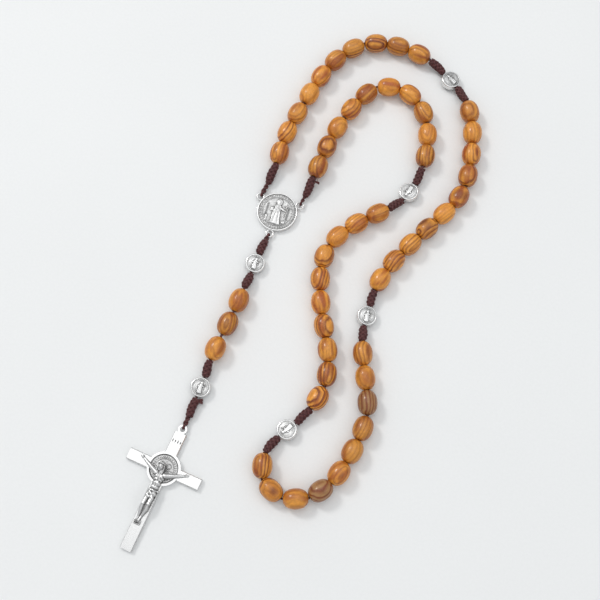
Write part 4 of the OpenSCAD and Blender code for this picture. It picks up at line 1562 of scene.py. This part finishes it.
@dataclass
class Corpus:
    """The figure on the cross: rounded masses joined by a voxel remesh, then worked in relief."""

    finishes: Finishes
    place: Matrix
    base_z: float
    voxel: float = 0.13
    head: tuple = (-0.95, 0.45)

    def blob(self, middle: tuple, radii: tuple, turn: float = 0.0) -> tuple[tuple, tuple, float]:
        """Returns one ellipsoid: its middle, radii and turn about Z in degrees."""
        return middle, radii, turn

    def limb(self, a: tuple, ra: float, b: tuple, rb: float, steps: int = 14) -> list[tuple]:
        """Returns a run of balls that fills a tapered limb from a to b."""
        start, end = np.array(a), np.array(b)
        balls = []
        for k in range(steps + 1):
            t = k / steps
            radius = ra + (rb - ra) * t
            balls.append(self.blob(tuple(start + (end - start) * t), (radius,) * 3))
        return balls

    def masses(self) -> list[tuple]:
        """Returns the figure's masses in millimetres, from the crossing of the bars."""
        body = [
            self.blob((-0.1, -3.6, 1.2), (2.25, 2.2, 1.15)),
            self.blob((-1.05, -3.1, 1.75), (0.95, 0.85, 0.7)),
            self.blob((0.9, -3.1, 1.75), (0.95, 0.85, 0.7)),
            self.blob((0.0, -6.1, 1.1), (1.85, 1.9, 1.0)),
            self.blob((0.0, -7.8, 1.25), (1.75, 1.3, 1.0)),
            self.blob((0.0, -9.4, 1.2), (1.8, 1.4, 1.15)),
        ]
        body += self.limb((-0.2, -1.9, 1.4), 0.75, (-0.7, -0.6, 1.7), 0.66, 8)
        # arms, hands and fingers
        for side in (-1, 1):
            body += self.limb((1.8 * side, -2.4, 1.35), 1.15, (4.9 * side, -1.1, 1.05), 0.86)
            body += self.limb((4.9 * side, -1.1, 1.05), 0.88, (8.5 * side, 0.55, 0.6), 0.56)
            body.append(self.blob((9.3 * side, 0.92, 0.5), (0.85, 0.64, 0.4), 24.0 * side))
            for k in range(4):
                tip = (10.2 * side + 0.12 * side * (k % 2), 0.85 + 0.32 * k, 0.42)
                body += self.limb((9.65 * side, 0.8 + 0.2 * k, 0.5), 0.19, tip, 0.15, 5)
            body += self.limb((9.0 * side, 1.2, 0.5), 0.2, (9.2 * side, 1.75, 0.5), 0.15, 5)
            body.append(self.blob((9.25 * side, 0.95, 0.86), (0.26, 0.26, 0.2)))
        # legs and feet, the knees a little bent to one side
        for hip, knee, ankle, toe in (
            ((-1.0, -10.0, 1.2), (-1.3, -15.0, 2.0), (-0.95, -20.0, 0.95), (-0.72, -22.0, 0.95)),
            ((0.95, -10.0, 1.2), (0.8, -14.6, 2.2), (0.15, -19.7, 1.15), (-0.1, -21.8, 1.35)),
        ):
            calf = tuple(np.add(knee, (0.05, -2.2, -0.45)))
            body += self.limb(hip, 1.05, knee, 0.80, 18)
            body.append(self.blob(tuple(np.add(knee, (0.0, 0.0, 0.1))), (0.84, 0.9, 0.76)))
            body += self.limb(tuple(np.add(knee, (0.0, -0.5, 0.0))), 0.70, calf, 0.80, 8)
            body += self.limb(calf, 0.80, ankle, 0.48, 14)
            body += self.limb(ankle, 0.48, toe, 0.42, 8)
            body.append(self.blob(tuple(np.add(toe, (0.0, -0.25, 0.0))), (0.50, 0.5, 0.3)))
        # loincloth, its knot and its hanging end
        body += [
            self.blob((0.0, -9.2, 1.25), (2.0, 0.75, 1.4)),
            self.blob((-0.05, -10.5, 1.35), (1.95, 1.1, 1.25)),
            self.blob((-0.15, -11.7, 1.4), (1.7, 0.9, 1.05)),
            self.blob((1.85, -9.1, 1.3), (0.62, 0.6, 0.6)),
        ]
        body += self.limb((2.0, -9.4, 1.1), 0.42, (2.2, -12.1, 0.7), 0.50, 12)
        # head, bowed to one side, with hair, beard and a plaited crown
        x, y = self.head
        body += [
            self.blob((x - 0.1, y - 0.1, 1.95), (1.12, 1.42, 1.15), 10.0),
            self.blob((x, y + 0.5, 1.6), (1.5, 1.42, 1.05), 10.0),
            self.blob((x - 0.25, y - 1.2, 2.2), (0.66, 0.66, 0.5), 10.0),
            self.blob((x - 0.15, y - 0.15, 3.04), (0.17, 0.42, 0.18), 10.0),
        ]
        body += self.limb((x - 1.1, y + 0.45, 1.7), 0.5, (x - 1.4, y - 1.85, 1.7), 0.38, 12)
        body += self.limb((x + 1.15, y + 0.35, 1.65), 0.52, (x + 1.25, y - 2.25, 1.6), 0.38, 12)
        for k in range(26):
            a = 2 * math.pi * k / 26
            middle = (x + 1.42 * math.cos(a), y + 0.85 + 0.42 * math.sin(a), 1.8 + 1.05 * math.sin(a))
            body.append(self.blob(middle, (0.26, 0.26, 0.26)))
        return body

    def footrest(self) -> list[tuple]:
        """Returns the small block under the feet, as balls along its edges."""
        rows = []
        for y in (-21.9, -22.5, -23.1):
            rows += self.limb((-1.45, y, 0.35), 0.42, (0.6, y, 0.35), 0.42, 8)
        return rows

    def rough(self) -> bpy.types.Object:
        """Returns the masses as one closed mesh, in millimetres."""
        rings, steps = 12, 18
        points, faces = [], []
        for middle, radii, turn in self.masses() + self.footrest():
            first = len(points)
            c, s = math.cos(math.radians(turn)), math.sin(math.radians(turn))
            for i in range(rings + 1):
                up = math.pi * i / rings
                for j in range(steps):
                    a = 2 * math.pi * j / steps
                    x = radii[0] * math.sin(up) * math.cos(a)
                    y = radii[1] * math.sin(up) * math.sin(a)
                    points.append((middle[0] + c * x - s * y, middle[1] + s * x + c * y,
                                   middle[2] + radii[2] * math.cos(up)))
            for i in range(rings):
                for j in range(steps):
                    a, b = first + i * steps, first + (i + 1) * steps
                    faces.append((a + j, b + j, b + (j + 1) % steps, a + (j + 1) % steps))
        obj = make_mesh("corpus_figure", np.array(points), faces, self.finishes.silver)
        remesh = obj.modifiers.new("union", "REMESH")
        remesh.mode, remesh.voxel_size, remesh.use_smooth_shade = "VOXEL", self.voxel, True
        soften = obj.modifiers.new("soften", "SMOOTH")
        soften.factor, soften.iterations = 0.5, 3
        return baked(obj)

    def carving(self, p: Points) -> Points:
        """Returns how far each point is carved outwards, in millimetres: ribs, folds, hair and eyes."""
        x, y, z = p[:, 0], p[:, 1], p[:, 2]
        front = smooth_step(0.9, 1.5, z)
        chest = smooth_step(-6.6, -5.8, y) * smooth_step(-2.2, -3.4, y) * (np.abs(x) < 2.6)
        ribs = 0.085 * np.sin(5.2 * (y + 0.28 * np.abs(x))) * chest * smooth_step(0.25, 0.8, np.abs(x))
        middle = smooth_step(-7.8, -7.2, y) * smooth_step(-1.8, -2.4, y)
        breast = -0.12 * np.exp(-((x / 0.16) ** 2)) * middle
        cloth = smooth_step(-12.8, -12.2, y) * smooth_step(-8.4, -9.0, y)
        folds = 0.075 * np.sin(4.2 * (y * 0.8 + 0.7 * x) + 0.5 * np.sin(1.6 * x)) * cloth
        u, v = x - self.head[0], y - self.head[1]
        sides = ((u < -0.73) | (u > 0.77)) * smooth_step(-2.4, -1.6, v) * (np.abs(u) < 1.9) * (y > -2.2)
        hair = smooth_step(0.5, 1.4, v) * (np.abs(u) < 2.2) + sides
        strands = 0.06 * np.sin(11 * u + 2.2 * v) * np.clip(hair, 0, 1)
        beard = 0.05 * np.sin(13 * u) * np.exp(-(((u + 0.33) / 0.5) ** 2) - ((v + 1.1) / 0.5) ** 2)
        eyes = sum(
            -0.18 * np.exp(-(((u + 0.1 + s * 0.42) / 0.22) ** 2) - ((v - 0.12 - 0.05 * s) / 0.14) ** 2)
            for s in (-1, 1)
        )
        mouth = -0.05 * np.exp(-(((u + 0.26) / 0.24) ** 2) - ((v + 0.67) / 0.07) ** 2)
        return (ribs + breast + folds + eyes + mouth + beard) * front + strands

    def build(self) -> None:
        """Makes the figure, carves it, maps its recesses and its painted shade, and hands it over."""
        obj = self.rough()
        mesh = obj.data
        count = len(mesh.vertices)
        points = np.empty(count * 3)
        mesh.vertices.foreach_get("co", points)
        points = points.reshape(-1, 3)
        normals = np.empty(count * 3, np.float32)
        mesh.vertices.foreach_get("normal", normals)
        points = points + normals.reshape(-1, 3) * self.carving(points)[:, None]
        edges = np.empty(len(mesh.edges) * 2, np.int32)
        mesh.edges.foreach_get("vertices", edges)
        edges = edges.reshape(-1, 2)
        near = np.zeros((count, 3))
        links = np.bincount(edges.ravel(), minlength=count)
        for a, b in ((0, 1), (1, 0)):
            for axis in range(3):
                near[:, axis] += np.bincount(edges[:, a], points[edges[:, b], axis], minlength=count)
        mesh.vertices.foreach_set("co", points.ravel())
        mesh.update()
        mesh.vertices.foreach_get("normal", normals)
        hollow = ((near / links[:, None] - points) * normals.reshape(-1, 3)).sum(1)
        for _ in range(2):
            total = np.bincount(edges[:, 0], hollow[edges[:, 1]], minlength=count)
            total += np.bincount(edges[:, 1], hollow[edges[:, 0]], minlength=count)
            hollow = (hollow + total / links) / 2
        # patina in the hollows, and the steep sides darker
        steep = smooth_step(0.62, 0.15, normals.reshape(-1, 3)[:, 2])
        patina = np.clip(0.42 + 50 * hollow + 0.5 * steep, 0, 1)
        # painted contact shadow: darker low down, where the figure meets the bars
        patina = np.maximum(patina, 0.85 * smooth_step(0.55, 0.1, points[:, 2]))
        # darker at the feet and the footrest
        patina = np.clip(patina + 0.3 * smooth_step(-21.3, -21.9, points[:, 1]), 0, 1)
        mesh.attributes.new("patina", "FLOAT", "POINT").data.foreach_set("value", patina.astype(np.float32))
        points[:, 2] = np.maximum(points[:, 2], 0.0) + self.base_z
        mesh.vertices.foreach_set("co", moved(points, self.place).ravel())
        mesh.update()
        mesh.shade_smooth()
        add_piece(obj, "crucifix", ["corpus"])


# ---------------------------------------------------------------- studio


@dataclass(frozen=True)
class Softbox:
    """One area light."""

    name: str
    place: tuple
    size: float
    power: float
    colour: tuple = (1.0, 1.0, 1.0)

    def build(self, target: Vector) -> None:
        """Adds the light, turned towards the target."""
        light = bpy.data.lights.new(self.name, "AREA")
        light.shape, light.size, light.energy, light.color = "DISK", self.size, self.power, self.colour
        obj = bpy.data.objects.new(self.name, light)
        bpy.context.scene.collection.objects.link(obj)
        obj.location = self.place
        obj.rotation_euler = (target - Vector(self.place)).to_track_quat("-Z", "Y").to_euler()


@dataclass(frozen=True)
class Studio:
    """Pale floor, soft light from the upper left and the camera."""

    look_at: tuple = (0.0097, -0.0382, 0.0)
    tilt: float = 15.1
    distance: float = 0.387
    lens: float = 56.0
    floor_size: float = 9.0
    floor_colour: tuple = (0.80, 0.81, 0.81, 1.0)
    sky: tuple = (0.97, 0.985, 1.0, 1.0)
    sky_high: float = 0.785
    sky_low: float = 0.38
    lights: tuple[Softbox, ...] = (
        Softbox("key", (-0.92, 0.80, 1.35), 0.42, 10.0, (1.0, 0.99, 0.975)),
        Softbox("fill", (1.3, -0.6, 1.6), 1.2, 2.2, (0.98, 0.99, 1.0)),
        Softbox("top", (0.1, 0.5, 2.0), 1.5, 6.0),
    )

    def floor(self) -> None:
        """Adds the floor: matt, very pale, with a faint weave."""
        half = self.floor_size / 2
        corners = np.array([(-half, -half, 0), (half, -half, 0), (half, half, 0), (-half, half, 0)], float)
        graph, shader, material = new_material("Pale floor", "floor")
        place = graph.add("ShaderNodeTexCoord").outputs["Object"]
        cloud = graph.noise(place, 9.0, 3.0)
        grain = graph.noise(place, 900.0, 3.0)
        speck = graph.remap(grain, 0.3, 0.7, -0.01, 0.01)
        shade = graph.math("ADD", graph.remap(cloud, 0.3, 0.7, -0.012, 0.012), speck)
        power = graph.math("ADD", shade, 1.0)
        tint = graph.add(
            "ShaderNodeVectorMath", {0: self.floor_colour[:3], "Scale": power}, operation="SCALE"
        ).outputs[0]
        graph.tree.links.new(tint, shader.inputs["Base Color"])
        bump = graph.add("ShaderNodeBump", {"Strength": 0.15, "Distance": 0.0002, "Height": grain})
        graph.tree.links.new(bump.outputs[0], shader.inputs["Normal"])
        shader.inputs["Roughness"].default_value = 0.85
        shader.inputs["Specular IOR Level"].default_value = 0.2
        obj = make_mesh("floor", corners, [(0, 1, 2, 3)], material, smooth=False)
        obj.data.transform(Matrix.Translation((self.look_at[0], self.look_at[1], -0.00002)))

    def camera(self) -> None:
        """Adds the camera, above and in front of the rosary."""
        data = bpy.data.cameras.new("camera")
        data.lens, data.sensor_width, data.clip_start = self.lens, 36.0, 0.01
        obj = bpy.data.objects.new("camera", data)
        bpy.context.scene.collection.objects.link(obj)
        tilt = math.radians(self.tilt)
        target = Vector(self.look_at)
        obj.location = target + Vector((0, -math.sin(tilt), math.cos(tilt))) * self.distance
        obj.rotation_euler = (tilt, 0.0, 0.0)
        bpy.context.scene.camera = obj

    def build(self) -> None:
        """Adds the floor, the sky, the lights and the camera."""
        self.floor()
        world = bpy.data.worlds.new("sky")
        world.use_nodes = True
        graph = Graph(world.node_tree)
        toward = graph.add("ShaderNodeTexCoord").outputs["Generated"]
        height = graph.add("ShaderNodeSeparateXYZ", {0: toward}).outputs["Z"]
        power = graph.remap(height, 0.0, 0.75, self.sky_low, self.sky_high)
        sky = graph.add("ShaderNodeBackground", {"Color": self.sky, "Strength": power})
        graph.add("ShaderNodeOutputWorld", {"Surface": sky.outputs[0]})
        bpy.context.scene.world = world
        bpy.context.scene.view_settings.view_transform = "Standard"
        for light in self.lights:
            light.build(Vector(self.look_at))
        self.camera()


# ---------------------------------------------------------------- the rosary


@dataclass
class Rosary:
    """The whole rosary, built along its two strands."""

    finishes: Finishes
    loop: list[Item] = field(default_factory=LOOP.items)
    drop: list[Item] = field(default_factory=DROP.items)

    def check_layout(self) -> None:
        """Stops the script if the strands don't lie where the CAD nodes do."""
        checks = (("knot_1_before", self.loop[bead_at(1, 11)]), ("medal_drop_lower", self.drop[7]))
        for node, item in checks:
            low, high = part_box(node)
            off = (np.array((low + high) / 2) - item.middle) / MM
            if np.abs(off).max() > 0.2:
                raise ValueError(f"{node} lies {off.round(2).tolist()} mm off its place on the strand")

    def beads(self) -> None:
        """Makes the beads of every body."""
        maker = BeadMaker(self.finishes)
        for strand, stretches in ((self.loop, LOOP_STRETCHES), (self.drop, DROP_STRETCHES)):
            for stretch in stretches:
                numbers = [i for i in range(stretch.first, stretch.last + 1) if strand[i].kind is Kind.BEAD]
                if not numbers:
                    continue
                beads = [strand[i] for i in numbers]
                if strand is self.loop:
                    nodes = body_nodes(stretch.body, "beads")
                    maker.build(f"wood_{stretch.body}", beads, stretch.body, nodes, numbers)
                else:
                    k = numbers[0] - 2
                    nodes = [f"bead_drop_{k}"]
                    maker.build(f"wood_drop_{k}", beads, f"bead_{k}", nodes, [100 + numbers[0]])
        maker.finish()

    def cords(self) -> None:
        """Makes the cord of every body, its necks and its bends."""
        cords, necks = CordMaker(self.finishes), NeckMaker(self.finishes)
        open_neck = NeckMaker(self.finishes, strand_dia=0.82 * MM, reach=1.06 * MM, pitch=3.0 * MM)
        extra = {
            "outer_left": necks.build("neck_left", LEFT_RING, self.loop[0].start),
            "inner_left": open_neck.build("neck_right", RIGHT_RING, self.loop[-1].end),
            "drop_upper": necks.build("neck_drop", LOWER_RING, self.drop[0].start),
        }
        for strand, stretches in ((self.loop, LOOP_STRETCHES), (self.drop, DROP_STRETCHES)):
            for stretch in stretches:
                cords.build(strand, stretch, [extra[stretch.body]] if stretch.body in extra else [])
            for a, b in zip(stretches, stretches[1:]):
                cords.bend(strand[a.last], strand[b.first], a.body, b.body)
        end = necks.build("cord_end_loop_twist", CROSS_RING, self.drop[-1].end)
        add_piece(end, "end_loop", ["cord_end_loop"])

    def knots(self) -> None:
        """Makes the knots, and the cut ends of the two finishing knots."""
        maker = KnotMaker(self.finishes)
        places = [("knot_left", self.loop[0], "outer_left"), ("knot_right", self.loop[-1], "inner_left")]
        bodies = ("outer_turn", "outer_right", "heel", "inner_right")
        for k, body in enumerate(bodies, 1):
            places.append((f"knot_{k}_before", self.loop[medal_at(k) - 1], body))
            places.append((f"knot_{k}_after", self.loop[medal_at(k) + 1], body))
        drop_knots = ((0, "drop_upper"), (2, "drop_upper"), (6, "drop_lower"), (8, "drop_lower"))
        for k, (i, body) in enumerate(drop_knots, 1):
            places.append((f"knot_drop_{k}", self.drop[i], body))
        for node, item, body in places:
            parts = [maker.build(f"{node}_wound", item)]
            if node == "knot_right":
                parts.append(maker.tail("tail", item, -20, 3.2 * MM, 1.0 * MM))
                parts.append(maker.loose_thread("thread", item, -20, 2.6 * MM))
            if node == "knot_drop_4":
                parts += [maker.tail("tail", item, angle, 3.2 * MM, 1.0 * MM) for angle in (-12, 10)]
            knot = merge(f"{node}_wound", parts) if len(parts) > 1 else parts[0]
            add_piece(knot, body, [node])

    def medals(self) -> None:
        """Makes the six small medals."""
        maker = SmallMedal(self.finishes)
        for k in range(1, 5):
            maker.build(f"medal_loop_{k}", self.loop[medal_at(k)], f"medal_{k}")
        maker.build("medal_drop_upper", self.drop[1], "medal_5")
        maker.build("medal_drop_lower", self.drop[7], "medal_6")
        maker.finish()

    def bars(self) -> None:
        """Dresses the crucifix's bars, which stay the CAD node's own."""
        bars = frame["nodes"]["crucifix_cross"]
        bars.data.materials.clear()
        bars.data.materials.append(self.finishes.silver)
        log.info("crucifix_cross: the CAD bars in silver")

    def build(self) -> None:
        """Makes every piece in order."""
        self.check_layout()
        self.cords()
        self.beads()
        self.knots()
        CentreMedal(self.finishes).build()
        self.medals()
        self.bars()
        Crucifix(self.finishes).build()


def main() -> None:
    """Builds the studio and the rosary."""
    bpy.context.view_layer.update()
    Studio().build()
    Rosary(Finishes()).build()
    log.info("The rosary is built")


if __name__ == "__main__":
    main()
